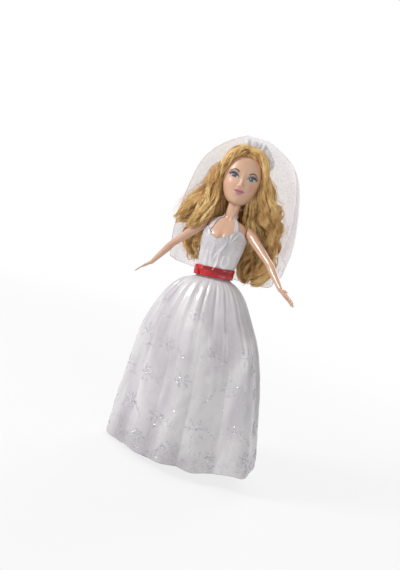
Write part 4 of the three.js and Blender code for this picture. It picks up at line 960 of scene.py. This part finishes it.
head_vinyl, tree, shader = plastic("head_vinyl", (0.68, 0.415, 0.275), (0.74, 0.465, 0.32), 0.45, 0.12)
paint = node(tree, "ShaderNodeAttribute", attribute_name="face_paint")
painted = node(tree, "ShaderNodeMix", data_type="RGBA")
for socket, link in (
    (painted.inputs[0], paint.outputs["Alpha"]), (painted.inputs[7], paint.outputs["Color"]),
    (painted.inputs[6], shader.inputs["Base Color"].links[0].from_socket),
    (shader.inputs["Base Color"], painted.outputs[2]),
):
    tree.links.new(link, socket)
head = grid_object("head_moulding", in_turned_frame(head_grid), head_vinyl, around=True)
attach(head, "head")
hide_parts("head")

# Sprayed colour on the face, misted on through a mask before the printing: lilac-grey shadow over the
# eyes and a warm blush on the cheeks. The face is also made paler in a patch under the brows.
flat_head = head_grid.reshape(-1, 3)
x, up = flat_head[:, 0], flat_head[:, 2] - chin_height
is_front = flat_head[:, 1] < -4
t = (np.abs(x) - eye_start) / eye_long
lid = upper_lid(t)
shadow = bell(t - 0.58, 0.58, 4) / (1 + np.exp(-(up - lid + 0.1) / 0.15))
shadow = shadow / (1 + np.exp((up - lid - 2.4 - 0.8 * t) / 0.5))
light_patch = bell(t - 0.6, 0.4, 4) * bell(up - lid - 3.0, 0.7)
blush = np.exp(-(((np.abs(x) - 10.5) / 3.8) ** 2) - ((up - 17) / 3.8) ** 2)
sprays = (
    (shadow * 0.97, (0.085, 0.075, 0.115)), (light_patch * 0.45, (0.8, 0.66, 0.6)),
    (blush * 0.4, (0.7, 0.27, 0.22)),
)
total = np.clip(sum(amount for amount, _ in sprays), 1e-4, 1)
colour = sum(amount[:, None] * np.array(tone)[None, :] for amount, tone in sprays) / total[:, None]
amount = np.where(is_front, total, 0)
layer = head.data.color_attributes.new("face_paint", "FLOAT_COLOR", "POINT")
layer.data.foreach_set("color", np.concatenate([colour, amount[:, None]], 1).astype(np.float32).ravel())

# Painted face: eyes, lashes, brows and lips are printed on the vinyl in thin coats of paint, each
# laid over the one before. They follow the relief of the moulding at the height of their coats.
face_tree = BVHTree.FromPolygons(flat_head.tolist(), grid_faces(*head_grid.shape[:2], True))


def on_face(x, up, lift):
    """Lays points of a plane on the face, each lifted a little off the vinyl."""
    made = np.empty((*x.shape, 3))
    for index in np.ndindex(x.shape):
        hit, normal, *_ = face_tree.ray_cast((x[index], -40, up[index] + chin_height), (0, 1, 0))
        normal = normal if normal.y < 0 else -normal
        made[index] = hit + normal * lift
    return in_turned_frame(made)


def coat(name, finish, x, up, lift):
    """A thin coat of paint over rows and columns of places on the face."""
    made = grid_object(name, on_face(x, up, lift), finish)
    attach(made, "head")


def paint_layer(name, finish, x, low, high, lift, rows=12):
    """A coat of paint between two lines across the face."""
    share = np.linspace(0, 1, rows)[:, None]
    up = low[None, :] + (high - low)[None, :] * share
    coat(name, finish, x[None, :] + 0 * up, up, lift)


def paint_stroke(name, finish, places, width, lift):
    """A tapered brush stroke through places on the face; width is at its start, middle and end."""
    keys = [(i / (len(places) - 1), *p) for i, p in enumerate(places)]
    share = np.linspace(0, 1, 26)
    path = np.stack(follow(keys, share), -1)
    along = unit(np.gradient(path, axis=0))
    side = np.stack([-along[:, 1], along[:, 0]], -1)
    (wide,) = follow([(0, width[0]), (0.45, width[1]), (1, width[2])], share)
    k = np.linspace(-0.5, 0.5, 5)[:, None]
    coat(name, finish, path[:, 0] + side[:, 0] * wide * k, path[:, 1] + side[:, 1] * wide * k, lift)


eye_white = plastic("eye_white_paint", (0.55, 0.55, 0.58), (0.65, 0.65, 0.68), 0.35, 0.1)[0]
iris_rim = plastic("iris_rim_paint", (0.012, 0.018, 0.03), (0.02, 0.03, 0.05), 0.35, 0.1)[0]
iris_blue = plastic("iris_blue_paint", (0.055, 0.085, 0.115), (0.11, 0.155, 0.20), 0.35, 0.1)[0]
pupil_black = plastic("pupil_paint", (0.006, 0.006, 0.009), (0.012, 0.012, 0.016), 0.3, 0.1)[0]
lash_black = plastic("lash_paint", (0.012, 0.008, 0.008), (0.03, 0.02, 0.02), 0.3, 0.3)[0]
brow_brown = plastic("brow_paint", (0.10, 0.035, 0.018), (0.16, 0.06, 0.03), 0.4, 0.1)[0]
lip_mauve = plastic("lip_paint", (0.50, 0.15, 0.22), (0.58, 0.21, 0.29), 0.22, 0.6)[0]
lip_dark = plastic("mouth_line_paint", (0.16, 0.03, 0.04), (0.2, 0.045, 0.05), 0.35, 0.3)[0]
iris_parts = (("rim", iris_rim, 2.2, 0.07), ("iris", iris_blue, 1.85, 0.1), ("pupil", pupil_black, 0.9, 0.13))
light_spots = ((-0.75, 0.85, 0.46), (0.7, -0.75, 0.24))
brow_places = ((4.9, 29.0), (6.4, 30.3), (8.8, 31.0), (11.2, 30.3), (13.2, 28.4))
gaze, iris_x, line_lift, lash_count = -0.35, 7.95, 0.15, 7


def disc(radius, columns):
    """Places across a round spot from left to right, with its half height at each."""
    across = radius * np.cos(np.linspace(math.pi, 0, columns))
    return across, np.sqrt(np.maximum(radius**2 - across**2, 0))


def iris_and_lights(side, name):
    """Rim, iris and pupil as the lids cut them off, with two small lights on them."""
    centre_x, centre_up = side * iris_x + gaze, eye_z + 0.15
    for part, finish, radius, lift in iris_parts:
        across, half = disc(radius, 30)
        at = (side * (centre_x + across) - eye_start) / eye_long
        low = np.maximum(centre_up - half, lower_lid(at) + 0.05)
        high = np.maximum(np.minimum(centre_up + half, upper_lid(at) - 0.02), low)
        paint_layer(f"eye_{name}_{part}", finish, centre_x + across, low, high, lift)
    for k, (aside, above, radius) in enumerate(light_spots):
        across, half = disc(radius, 12)
        spot_up = centre_up + above
        paint_layer(f"eye_{name}_light_{k}", eye_white, centre_x + aside + across, spot_up - half,
                    spot_up + half, 0.16, 6)


def lashes(side, name):
    """Short strokes that fan out from the upper lid, longer and flatter towards the outer corner."""
    for k in range(lash_count):
        t = 0.42 + 0.1 * k
        root = (eye_start + eye_long * t, float(upper_lid(np.array(min(t, 1.0)))) + 0.4)
        lean, long = 0.25 + 0.13 * k, 1.15 + 0.12 * k
        tip = (root[0] + long * math.sin(lean), root[1] + long * math.cos(lean))
        bend = (root[0] + 0.62 * long * math.sin(lean * 1.5), root[1] + 0.45 * long * math.cos(lean))
        places = [(side * p[0], p[1]) for p in (root, bend, tip)]
        paint_stroke(f"eye_{name}_lash_{k}", lash_black, places, (0.3, 0.2, 0.04), 0.17)


def along_eye(side, start, end, columns):
    """Shares along the eye between two, from its inner corner at 0 to its outer one, and their places."""
    t = np.linspace(start, end, columns)
    return t, side * (eye_start + eye_long * t)


for side, name in ((1, "left"), (-1, "right")):
    t, x = along_eye(side, 0.0, 1.0, 44)
    paint_layer(f"eye_{name}_white", eye_white, x, lower_lid(t), upper_lid(t), 0.04)
    iris_and_lights(side, name)
    t, x = along_eye(side, -0.03, 1.16, 50)
    lid = np.where(t < 1, upper_lid(t), upper_lid(np.ones(1)) + (t - 1) * 5.0)
    thick = np.interp(t, (-0.03, 0.1, 0.5, 0.9, 1.16), (0.3, 0.85, 1.4, 1.75, 0.15))
    paint_layer(f"eye_{name}_upper_lash_line", lash_black, x, lid - 0.12, lid + thick, line_lift, 6)
    t, x = along_eye(side, 0.25, 1.02, 30)
    low = lower_lid(t) - 0.22 * np.clip(t, 0, 1)
    paint_layer(f"eye_{name}_lower_lash_line", lash_black, x, low, lower_lid(t) + 0.04, line_lift, 4)
    lashes(side, name)
    brow = [(side * across, up) for across, up in brow_places]
    paint_stroke(f"brow_{name}", brow_brown, brow, (1.2, 1.3, 0.3), 0.06)

lip_half, lip_parting, smile_bend = 4.8, 12.0, 0.026
x = np.linspace(-lip_half, lip_half, 70)
lobe = np.clip(1 - (np.abs(x) / lip_half) ** 2.2, 0, 1)
smile = smile_bend * x**2
lip_top = smile + lip_parting + 0.05 + 1.75 * lobe**0.8
lip_top = lip_top + 0.45 * bell(np.abs(x) - 1.5, 0.9) * lobe
lip_bottom = smile + lip_parting - 2.7 * np.clip(1 - (np.abs(x) / lip_half) ** 2, 0, 1) ** 0.75
paint_layer("lips_painted", lip_mauve, x, lip_bottom, lip_top, 0.05, 24)
line_x = np.linspace(-4.5, 4.5, 50)
line_up = mouth_up + 0.028 * line_x**2 - 0.12 * bell(line_x, 1.1)
half = 0.2 * np.clip(1 - (np.abs(line_x) / 5.0) ** 3, 0.05, 1)
paint_layer("mouth_line", lip_dark, line_x, line_up - half, line_up + half, 0.09, 4)

# Combed hair: golden nylon fibre, rooted in the scalp along a middle part and combed down on both
# sides. A cover follows the scalp between guide lines and carries the clumps that lie on it.
hair_gold, tree, shader = material("golden_hair_fibre")
along = node(tree, "ShaderNodeUVMap", uv_map="along")
stretched = node(tree, "ShaderNodeMapping", Vector=along.outputs["UV"], Scale=(15, 0.9, 1))
fibres = node(tree, "ShaderNodeTexNoise", Scale=1, Detail=4, Roughness=0.65, Vector=stretched.outputs[0])
# The fibre's own tone is mixed with slow upright patches of painted highlight and shade over the hair.
drawn = node(tree, "ShaderNodeMapping", Vector=place_on(tree), Scale=(1, 1, 0.4))
clump_tone_and_shade = node(tree, "ShaderNodeTexNoise", Scale=140, Detail=2, Distortion=0.5, Vector=drawn.outputs[0])
both = node(tree, "ShaderNodeMix", data_type="FLOAT")
both.inputs[0].default_value = 0.4
tree.links.new(fibres.outputs["Fac"], both.inputs[2])
tree.links.new(clump_tone_and_shade.outputs["Fac"], both.inputs[3])
# The tones run from a painted shade through the golden fibre to a painted highlight.
tones = ((0.38, (0.29, 0.12, 0.03)), (0.5, (0.86, 0.53, 0.18)), (0.6, (1.0, 0.84, 0.45)))
wired(shader, Base_Color=toned(tree, both.outputs[0], *tones),
      Normal=bumped(tree, fibres.outputs["Fac"], 0.5, 0.0004).outputs["Normal"],
      Roughness=0.36, Specular_IOR_Level=0.55)
hair_rng = np.random.default_rng(23)


def hair_mesh(name, paths, radii, sides=6, flat=0.75):
    """Tapered strands along paths of millimetres, all in one mesh, with their fibres mapped along."""
    count, steps = paths.shape[:2]
    along = np.gradient(paths, axis=1)
    along /= np.linalg.norm(along, axis=2, keepdims=True) + 1e-9
    side = np.cross(along, np.array([0.15, 0.2, 1.0]))
    side /= np.linalg.norm(side, axis=2, keepdims=True) + 1e-9
    other = np.cross(along, side)
    angle = all_round(sides)
    ring = side[:, :, None] * np.cos(angle)[:, None] + other[:, :, None] * np.sin(angle)[:, None] * flat
    points = (paths[:, :, None] + ring * radii[:, :, None, None]).reshape(-1, 3)
    i, j, s = np.meshgrid(np.arange(count), np.arange(steps - 1), np.arange(sides), indexing="ij")
    first = (i * steps + j) * sides
    k = (s + 1) % sides
    faces = np.stack([first + s, first + k, first + sides + k, first + sides + s], -1).reshape(-1, 4)
    length = np.cumsum(np.linalg.norm(np.diff(paths, axis=1, prepend=paths[:, :1]), axis=2), axis=1) / 10
    offset = hair_rng.uniform(0, 80, count)
    around = offset[:, None, None, None] + np.stack([s, s + 1, s + 1, s], -1) / sides
    rise = np.stack([length[:, :-1], length[:, :-1], length[:, 1:], length[:, 1:]], -1)[:, :, None, :]
    uvs = np.stack(np.broadcast_arrays(around, rise + 3 * offset[:, None, None, None]), -1)
    return mesh_object(name, points, faces.tolist(), hair_gold, uvs)


scalp_guides = np.array([  # from the face to the middle of the back, each from the part to the ends
    [(0.2, -8.6, 46.0), (6.2, -9.6, 45.4), (12.0, -9.2, 42.8), (16.4, -8.2, 37.2),
     (19.0, -6.0, 28), (19.7, -4.0, 16.5), (19.4, -2.2, 4)],
    [(0.2, -4.6, 54.4), (7.6, -5.6, 54), (15.2, -5.4, 49.4), (20.7, -4.4, 39),
     (22.6, -2.4, 25.5), (22.9, -0.8, 12), (22.4, 0.4, 1)],
    [(0.2, 1.4, 56.4), (8.2, 1.8, 55.8), (16.4, 2.6, 50), (21.4, 3.8, 38),
     (22.2, 5, 24), (21.7, 6, 11), (21, 6.8, 0)],
    [(0.2, 7, 54.8), (6.8, 10.4, 52.8), (13.2, 13.6, 46.6), (16.4, 16.2, 35),
     (17, 17.4, 22.5), (16.2, 17.2, 10), (15.2, 17, 0)],
    [(0.1, 12, 51), (-0.5, 17.2, 47.4), (-0.9, 21, 39), (-1, 22.8, 28.5),
     (-1, 23, 18), (-0.9, 22, 8), (-0.6, 20.4, -2)],
])
guide_keys = np.array([0, 0.3, 0.58, 0.8, 1.0])


def combed(side, s, t):
    """A point of the combed hair: s runs from the face to the back, t from the part to the ends."""
    s, t = np.broadcast_arrays(s, t)
    rows = np.concatenate([guide_keys[:, None], scalp_guides.reshape(len(guide_keys), -1)], 1)
    at = np.stack(follow(rows, s), -1).reshape(*s.shape, -1, 3)
    last = at.shape[-2] - 1
    place = t * last
    i = np.clip(place.astype(int), 0, last - 1)
    f = (place - i)[..., None]
    p0, p1, p2, p3 = (
        np.take_along_axis(at, np.clip(k, 0, last)[..., None, None].repeat(3, -1), -2)[..., 0, :]
        for k in (i - 1, i, i + 1, i + 2)
    )
    slope, curve, twist = p2 - p0, 2 * p0 - 5 * p1 + 4 * p2 - p3, 3 * p1 - p0 - 3 * p2 + p3
    point = 0.5 * (2 * p1 + slope * f + curve * f**2 + twist * f**3)
    return point * np.array([side, 1, 1]) + np.array([0, 0, chin_height])


def outward_of(points):
    """Directions away from the middle of the head."""
    return unit(points - np.array([0, 1.5, chin_height + head_height / 2]))


clump_count, clump_steps = 230, 34


def combed_cover(side, name):
    """The cover of combed hair on one side of the parting, with its fibres mapped along it."""
    s, t = np.linspace(0, 1, 70)[:, None], np.linspace(0, 1, 60)[None, :]
    sheet = combed(side, s, t)
    comb = 0.35 * np.sin(s * 120 + 3 * np.sin(t * 5)) * np.sin(math.pi * t) ** 0.5
    sheet = sheet + outward_of(sheet) * (comb - 0.7)[..., None]
    cover = grid_object(f"combed_hair_{name}", in_turned_frame(sheet if side < 0 else sheet[::-1]),
                        hair_gold, uv_scale=(0.1, 0.1))
    layer = cover.data.uv_layers["along"].data
    uvs = np.empty(len(layer) * 2, np.float32)
    layer.foreach_get("uv", uvs)
    along_fibre = uvs.reshape(-1, 2)[:, ::-1] * (80, 40)
    layer.foreach_set("uv", along_fibre.astype(np.float32).ravel())
    applied(thicken(cover, 1.2, 0))
    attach(cover, "head")
    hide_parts("hair_cap")


def scalp_clumps(side, name):
    """Clumps that lie on a cover, from roots that reach over the parting to ends of uneven length."""
    count = clump_count
    start = hair_rng.uniform(0, 1, count) ** 1.15
    strand_s = np.clip(start[:, None] + 0.03 * np.sin(np.linspace(0, 5, clump_steps))[None, :]
                       * hair_rng.normal(0, 1, (count, 1)), 0, 1)
    strand_t = np.linspace(0, 1, clump_steps)[None, :] * hair_rng.uniform(0.85, 1.0, (count, 1))
    paths = combed(side, strand_s, strand_t)
    wave = 0.9 * np.sin(strand_t * 11 + start[:, None] * 5 + hair_rng.uniform(0, 1.2, (count, 1))) * strand_t
    paths = paths + outward_of(paths) * (0.5 + wave + hair_rng.uniform(-0.5, 0.7, (count, 1)))[..., None]
    bridged = bell(strand_t, 0.13)
    paths[..., 0] -= side * hair_rng.uniform(0.6, 3.0, (count, 1)) * bridged
    swell = 0.35 + 0.65 * np.sin(math.pi * np.clip(strand_t, 0.02, 0.97)) ** 0.5
    radii = hair_rng.uniform(0.35, 0.85, (count, 1)) * swell
    clumps = hair_mesh(f"scalp_clumps_{name}", in_turned_frame(paths), radii)
    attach(clumps, "head")


for side, name in ((1, "left"), (-1, "right")):
    combed_cover(side, name)
    scalp_clumps(side, name)

# Locks: the rest of the rooted hair, set in loose waved bundles with a round curl at the left end.
# Their roots turn with the head and their ends lie on the shoulders and the back.
# A row of shares gives a bundle's place across, to the back and down, and its half width and depth.
hair_top, hair_length, hair_spread, hair_reach, lock_half = 294.5, 110, 54, 24, 10
lock_rows = {
    "hair_shoulder_right": [
        (-0.3, -0.1, 0.04, 0.45, 0.4), (-0.43, -0.22, 0.13, 0.65, 0.5), (-0.47, -0.2, 0.24, 0.9, 0.65),
        (-0.54, -0.16, 0.35, 1.1, 0.7), (-0.67, -0.12, 0.45, 1.25, 0.65), (-0.82, -0.06, 0.55, 1.15, 0.55),
        (-1.0, 0, 0.64, 0.6, 0.35)],
    "hair_back_right": [
        (-0.3, 0.62, 0.22, 0.8, 0.6), (-0.48, 0.75, 0.36, 1, 0.66), (-0.62, 0.85, 0.49, 1.1, 0.66),
        (-0.7, 0.92, 0.61, 1.1, 0.62), (-0.7, 0.92, 0.73, 1.05, 0.6), (-0.62, 0.88, 0.85, 0.9, 0.55),
        (-0.5, 0.84, 0.94, 0.4, 0.35)],
    "hair_curtain_left": [
        (0.29, 0.06, 0.05, 0.45, 0.4), (0.42, 0.1, 0.15, 0.75, 0.6), (0.52, 0.1, 0.28, 1.05, 0.75),
        (0.63, 0.34, 0.4, 1.4, 0.85), (0.71, 0.62, 0.53, 1.5, 0.85), (0.75, 0.72, 0.66, 1.4, 0.8),
        (0.76, 0.7, 0.78, 1.15, 0.7)],
    "hair_inner_left": [
        (0.16, 0.66, 0.22, 0.6, 0.5), (0.28, 0.74, 0.38, 0.85, 0.55), (0.38, 0.78, 0.53, 1, 0.58),
        (0.45, 0.78, 0.68, 1, 0.55), (0.47, 0.76, 0.79, 0.7, 0.4)],
    "hair_curl_left": [
        (0.78, 0.68, 0.72, 0.95, 0.6), (0.82, 0.64, 0.82, 1.05, 0.72), (0.7, 0.62, 0.91, 1.1, 0.76),
        (0.53, 0.64, 0.91, 1.0, 0.7), (0.45, 0.66, 0.83, 0.9, 0.62), (0.52, 0.66, 0.76, 0.85, 0.55),
        (0.64, 0.66, 0.77, 0.6, 0.45)],
    "hair_back": [
        (0, 1.08, 0.16, 1.3, 0.5), (0, 1.14, 0.3, 1.9, 0.55), (0.01, 1.1, 0.46, 2.1, 0.55),
        (0.02, 1, 0.62, 2.1, 0.52), (0.02, 0.92, 0.78, 1.9, 0.46), (0.01, 0.88, 0.92, 1.4, 0.4)],
}


def lock_paths(rows, across, count, steps, wave, waves, twist, clumps=16, fill=1.0):
    """Paths of a lock's strands: those of a clump keep together in its oval, and wave and turn as one."""
    keys = [
        (i, out * hair_spread, back * hair_reach, hair_top - drop * hair_length,
         wide * lock_half, deep * lock_half)
        for i, (out, back, drop, wide, deep) in enumerate(rows)
    ]
    share = np.linspace(0, 1, steps)
    path = np.stack(follow(keys, share * (len(rows) - 1)), -1)
    side, other = square_to(path, across)
    group = hair_rng.integers(0, clumps, count)[:, None]
    angle = hair_rng.uniform(0, 2 * math.pi, clumps)[group] + hair_rng.normal(0, 0.16, (count, 1))
    reach = np.sqrt(hair_rng.uniform(0.1, 1, clumps))[group] * 0.86 * fill
    reach = reach + hair_rng.normal(0, 0.07, (count, 1))
    ending = hair_rng.uniform(0.8, 1.0, (count, 1))
    t = share[None, :] * ending
    at, side, other = (
        np.stack([np.interp(t, share, column) for column in values.T], -1) for values in (path, side, other)
    )
    pace = hair_rng.normal(1, 0.1, clumps)[group] + hair_rng.normal(0, 0.015, (count, 1))
    phase = t * waves * pace * 2 * math.pi
    phase = phase + hair_rng.uniform(0, 5, clumps)[group] + hair_rng.normal(0, 0.25, (count, 1))
    turn = angle + twist * t + 0.25 * np.sin(phase * 0.5)
    grown = np.clip(t * 3, 0, 1)
    u = at[..., 3] * reach * np.cos(turn) + wave * grown * np.sin(phase)
    v = at[..., 4] * reach * np.sin(turn) + 0.6 * wave * grown * np.cos(phase + 0.7)
    frizz = grown * hair_rng.uniform(0.1, 0.5, (count, 1))
    u = u + frizz * np.sin(t * 61 + hair_rng.uniform(0, 6, (count, 1)))
    v = v + frizz * np.cos(t * 53 + hair_rng.uniform(0, 6, (count, 1)))
    return at[..., :3] + side * u[..., None] + other * v[..., None], t / ending


sideways = np.array([1.0, 0, 0])
side_falls = {  # shorter falls of the same locks, beside the neck and over the front of the shoulder
    "hair_shoulder_right": [
        (-0.34, -0.2, 0.14, 0.45, 0.4), (-0.42, -0.3, 0.26, 0.8, 0.45), (-0.44, -0.38, 0.39, 1.0, 0.4),
        (-0.48, -0.42, 0.5, 1.05, 0.35), (-0.58, -0.4, 0.6, 0.9, 0.3), (-0.7, -0.34, 0.68, 0.5, 0.2)],
    "hair_back_right": [
        (-0.3, 0.1, 0.24, 0.5, 0.5), (-0.32, 0.32, 0.38, 0.7, 0.5), (-0.36, 0.55, 0.52, 0.9, 0.5),
        (-0.42, 0.72, 0.66, 0.9, 0.5), (-0.46, 0.8, 0.8, 0.5, 0.4)],
    "hair_inner_left": [
        (0.3, 0.1, 0.24, 0.5, 0.5), (0.3, 0.3, 0.38, 0.7, 0.5), (0.32, 0.52, 0.52, 0.8, 0.5),
        (0.4, 0.66, 0.66, 0.9, 0.5), (0.46, 0.72, 0.8, 0.6, 0.4)],
    "hair_curl_left": [
        (0.6, 0.72, 0.7, 0.9, 0.5), (0.62, 0.74, 0.8, 1.5, 0.5), (0.62, 0.74, 0.88, 1.4, 0.45),
        (0.6, 0.72, 0.95, 0.8, 0.3)],
}
lock_styles = {  # strands, wave in millimetres, waves along the lock, turns in radians
    "hair_shoulder_right": (300, 1.2, 2.2, 0.8), "hair_back_right": (240, 2.0, 3.6, 2.2),
    "hair_curtain_left": (420, 2.0, 4.6, -2.0), "hair_inner_left": (200, 1.6, 4.0, 1.6),
    "hair_curl_left": (280, 1.0, 2.4, 3.0), "hair_back": (280, 1.6, 4.0, 0.5),
}
steps, loose_count, fall_count = 56, 110, 130
for name, (count, wave, waves, twist) in lock_styles.items():
    rows = lock_rows[name]
    paths, share = lock_paths(rows, sideways, count, steps, wave, waves, twist)
    radii = hair_rng.uniform(0.32, 0.85, (count, 1)) * np.clip(1.12 - share, 0.1, 1) ** 0.5
    radii = radii * np.clip(0.5 + share * 4, 0, 1)
    loose, share = lock_paths(rows, sideways, loose_count, steps, wave * 1.6, waves * 1.15, twist,
                              clumps=loose_count, fill=1.3)
    loose_radii = 0.12 * np.clip(1.2 - share, 0.3, 1)
    paths, radii = np.concatenate([paths, loose]), np.concatenate([radii, loose_radii])
    if name in side_falls:
        fall, share = lock_paths(side_falls[name], sideways, fall_count, steps, 1.1, 2.2, 0.8, 11)
        swell = np.clip(np.sin(math.pi * (0.06 + 0.88 * share)), 0.2, 1)
        fall_radii = hair_rng.uniform(0.3, 0.75, (fall_count, 1)) * swell
        paths, radii = np.concatenate([paths, fall]), np.concatenate([radii, fall_radii])
    piece = hair_mesh(f"{name}_strands", paths, radii)
    if name == "hair_curl_left":
        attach(piece, "torso")
    else:
        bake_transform(piece)
    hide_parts(name)

# Temple sweeps: two twisted strands of the same fibre, drawn back from the parting over the
# temples, the right one larger. They lie on the combed hair and turn with the head.
sweep_rows = [
    (-0.03, -0.36, -0.078, 0.26, 0.24), (-0.17, -0.44, -0.058, 0.4, 0.34), (-0.3, -0.44, 0.01, 0.48, 0.4),
    (-0.385, -0.36, 0.11, 0.48, 0.4), (-0.42, -0.22, 0.21, 0.34, 0.3),
]
sweep_count, backward = 90, np.array([0, 1.0, 0])
for side, name, size in ((-1, "right", 1.0), (1, "left", 0.8)):
    rows = [(-side * out, back, drop, wide * size, deep * size) for out, back, drop, wide, deep in sweep_rows]
    paths, share = lock_paths(rows, backward, sweep_count, 40, 0.4, 2.5, 5.5 * side, 9)
    swell = np.clip(np.sin(math.pi * np.clip(share, 0.03, 0.97)), 0.2, 1) ** 0.5
    radii = hair_rng.uniform(0.35, 0.75, (sweep_count, 1)) * swell
    piece = hair_mesh(f"temple_sweep_{name}", in_turned_frame(paths), radii)
    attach(piece, "head")
    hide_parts(f"hair_sweep_{name}")

# Veil: one sheet of fine pink-white tulle, gathered and sewn behind the headpiece. It is open in
# front, hangs in shallow folds over the hair, and its edge is rolled and sewn with a fine thread.
veil_top, veil_half, veil_depth, veil_shift, veil_edge, veil_fold = 319.5, 60, 35, 3, 2, 3
veil_hems = {"back": 183, "right": 188, "left": 221}
veil_wrap, veil_wrap_left, veil_behind = 96, 16, 22
veil_shares = [
    (0, 0.15, 0), (0.045, 0.35, 0.05), (0.14, 0.61, 0.45), (0.25, 0.78, 0.78), (0.41, 0.89, 0.95),
    (0.62, 0.97, 1), (0.81, 1, 1), (1, 0.96, 0.98),
]


def veil_point(turn, drop):
    """A point of the veil: turn runs from its right edge to its left one, drop from top to hem."""
    turn, drop = np.broadcast_arrays(turn, drop)
    width, depth = follow(veil_shares, drop)
    side = (1 + turn) / 2
    angle = turn * np.radians(veil_wrap + veil_wrap_left * side**2)
    edge = veil_hems["right"] + (veil_hems["left"] - veil_hems["right"]) * side**2
    hem = veil_hems["back"] + (edge - veil_hems["back"]) * np.abs(turn) ** 2.5
    fold = veil_fold * drop * np.cos(7 * angle + 0.8) + 0.7 * drop * np.sin(17 * angle + 2 * drop)
    gathered = bell(drop, 0.35) * np.minimum(1, drop * 8)
    fold = fold + 0.35 * np.sin(31 * angle + 5 * drop) * gathered
    across, along = rounded(angle, 2.7)
    x = veil_shift + (veil_half * width + fold) * across
    beside = x * math.tan(head_turn) * (1 - drop) ** 4
    behind = veil_behind * drop * (1 - side) ** 2
    y = veil_edge + 0.6 + (veil_depth * depth + fold) * along + behind + beside
    return np.stack([x, y, veil_top + (hem - veil_top) * drop], -1)


veil_tulle = tulle("veil_tulle", 1100, (0.03, (0.4, 0.4, 0.4)), (0.15, (0.09, 0.09, 0.09)),
                   25, (0.80, 0.68, 0.73), (0.90, 0.82, 0.85), Roughness=0.55, Sheen_Weight=0.3)
side_steps, hem_steps = 120, 300
down_the_side, along_the_hem = np.linspace(0.05, 1, side_steps), np.linspace(-1, 1, hem_steps)
drop_share = (np.linspace(0, 1, 150) ** 1.1)[:, None]
veil = grid_object("veil_of_tulle", veil_point(along_the_hem[None, :], drop_share), veil_tulle)
applied(thicken(veil, 0.3, 1))
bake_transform(veil)
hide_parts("veil")

edge_turn = np.concatenate([np.full(side_steps, -1.0), along_the_hem, np.full(side_steps, 1.0)])
edge_drop = np.concatenate([down_the_side, np.full(hem_steps, 1.0), down_the_side[::-1]])
edge = veil_point(edge_turn, edge_drop)
edge_thread = plastic("edge_thread", (0.84, 0.79, 0.81), (0.92, 0.89, 0.9), 0.6, 0)[0]
edge_radius = 0.34
edging = skinned([(p, edge_radius, edge_radius) for p in edge[::2]], np.array([0.3, 1.0, 0.2]), 7, 1)
rolled = grid_object("veil_rolled_edge", edging, edge_thread, around=True, closed_ends=True)
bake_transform(rolled)

# Headpiece: a band of tulle folded double, pleated like a small fan and stitched to the hair, with
# one pearl bead on its front.
piece_radius, piece_height, piece_squash, pleats, pleat_depth = 22.2, 18, 0.97, 9, 0.7
band_half_depth, fan_gap = 1.2, 0.7
piece_middle = veil_edge - fit_gap - pleat_depth * 0.33 - band_half_depth
pleated_tulle, tree, shader = plastic("pleated_tulle", (0.93, 0.86, 0.88), (0.98, 0.95, 0.96), 0.7, 0)
wired(shader, Sheen_Weight=0.5, Subsurface_Weight=0.6, Subsurface_Radius=(1, 0.9, 0.9),
      Subsurface_Scale=0.003)
fan_start, fan_turn = math.radians(-33), math.radians(90)


def fan_point(share, rise, offset):
    """A point of the pleated band: share runs over the head, rise from the hair to its edge."""
    arch = np.sin(math.pi * np.clip(share, 0, 1)) ** 0.7
    height = piece_height * (0.35 + 0.65 * arch)
    angle = fan_start + fan_turn * share
    bunch = 2 * math.pi * (share + 0.035 * np.sin(11 * share + 1) + 0.02 * np.sin(23 * share))
    radius = piece_radius + height * rise + 0.9 * np.cos(3.3 * bunch + 0.6) * rise
    opened = 0.3 + 0.7 * rise
    pleat = pleat_depth * (0.45 * np.cos(pleats * bunch + 1.2 * rise) + 0.55 * np.cos(5.4 * bunch + 2 * rise))
    pleat = pleat * opened + 0.08 * np.cos(31 * bunch + 3 * rise) * opened
    z = chin_height + head_height * 0.58 + radius * np.cos(angle) * piece_squash
    return np.stack([radius * np.sin(angle), piece_middle + offset + pleat, z], -1)


share, rise = np.linspace(0, 1, 420)[None, :], np.linspace(0, 1, 26)[:, None]
for name, offset, top in (("headpiece", -0.85, 0.92), ("back", 0.75, 1.0)):
    fan = in_turned_frame(fan_point(share, rise * top, offset))
    layer = grid_object(f"veil_pleated_{name}", fan, pleated_tulle)
    applied(thicken(layer, 0.5, 0))
    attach(layer, "head")
    if name == "headpiece":
        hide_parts("veil_headpiece")

pearl, tree, shader = plastic("pearl_bead", (0.78, 0.74, 0.70), (0.86, 0.83, 0.80), 0.18, 0.8)
bead_radius, bead_share, bead_rise = 1.3, 60 / 90, 0.45
profile = [
    (0.25, -1.22), (0.5, -1.2), (0.95, -0.9), (1.22, -0.45), (bead_radius, 0),
    (1.22, 0.45), (0.95, 0.9), (0.5, 1.2), (0.25, 1.22),
]
(radius, rise) = follow([(i, *p) for i, p in enumerate(profile)], np.linspace(0, len(profile) - 1, 41))
angle = all_round(40)
bead_at = fan_point(np.array(bead_share), np.array(bead_rise), -band_half_depth - fan_gap - bead_radius)
across, along = radius[:, None] * np.cos(angle), radius[:, None] * np.sin(angle)
ring = np.stack([across, along, rise[:, None] + 0 * angle], -1)
bead = grid_object("headpiece_pearl", in_turned_frame(ring[..., [2, 0, 1]] + bead_at), pearl, around=True)
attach(bead, "head")
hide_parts("headpiece_bead")
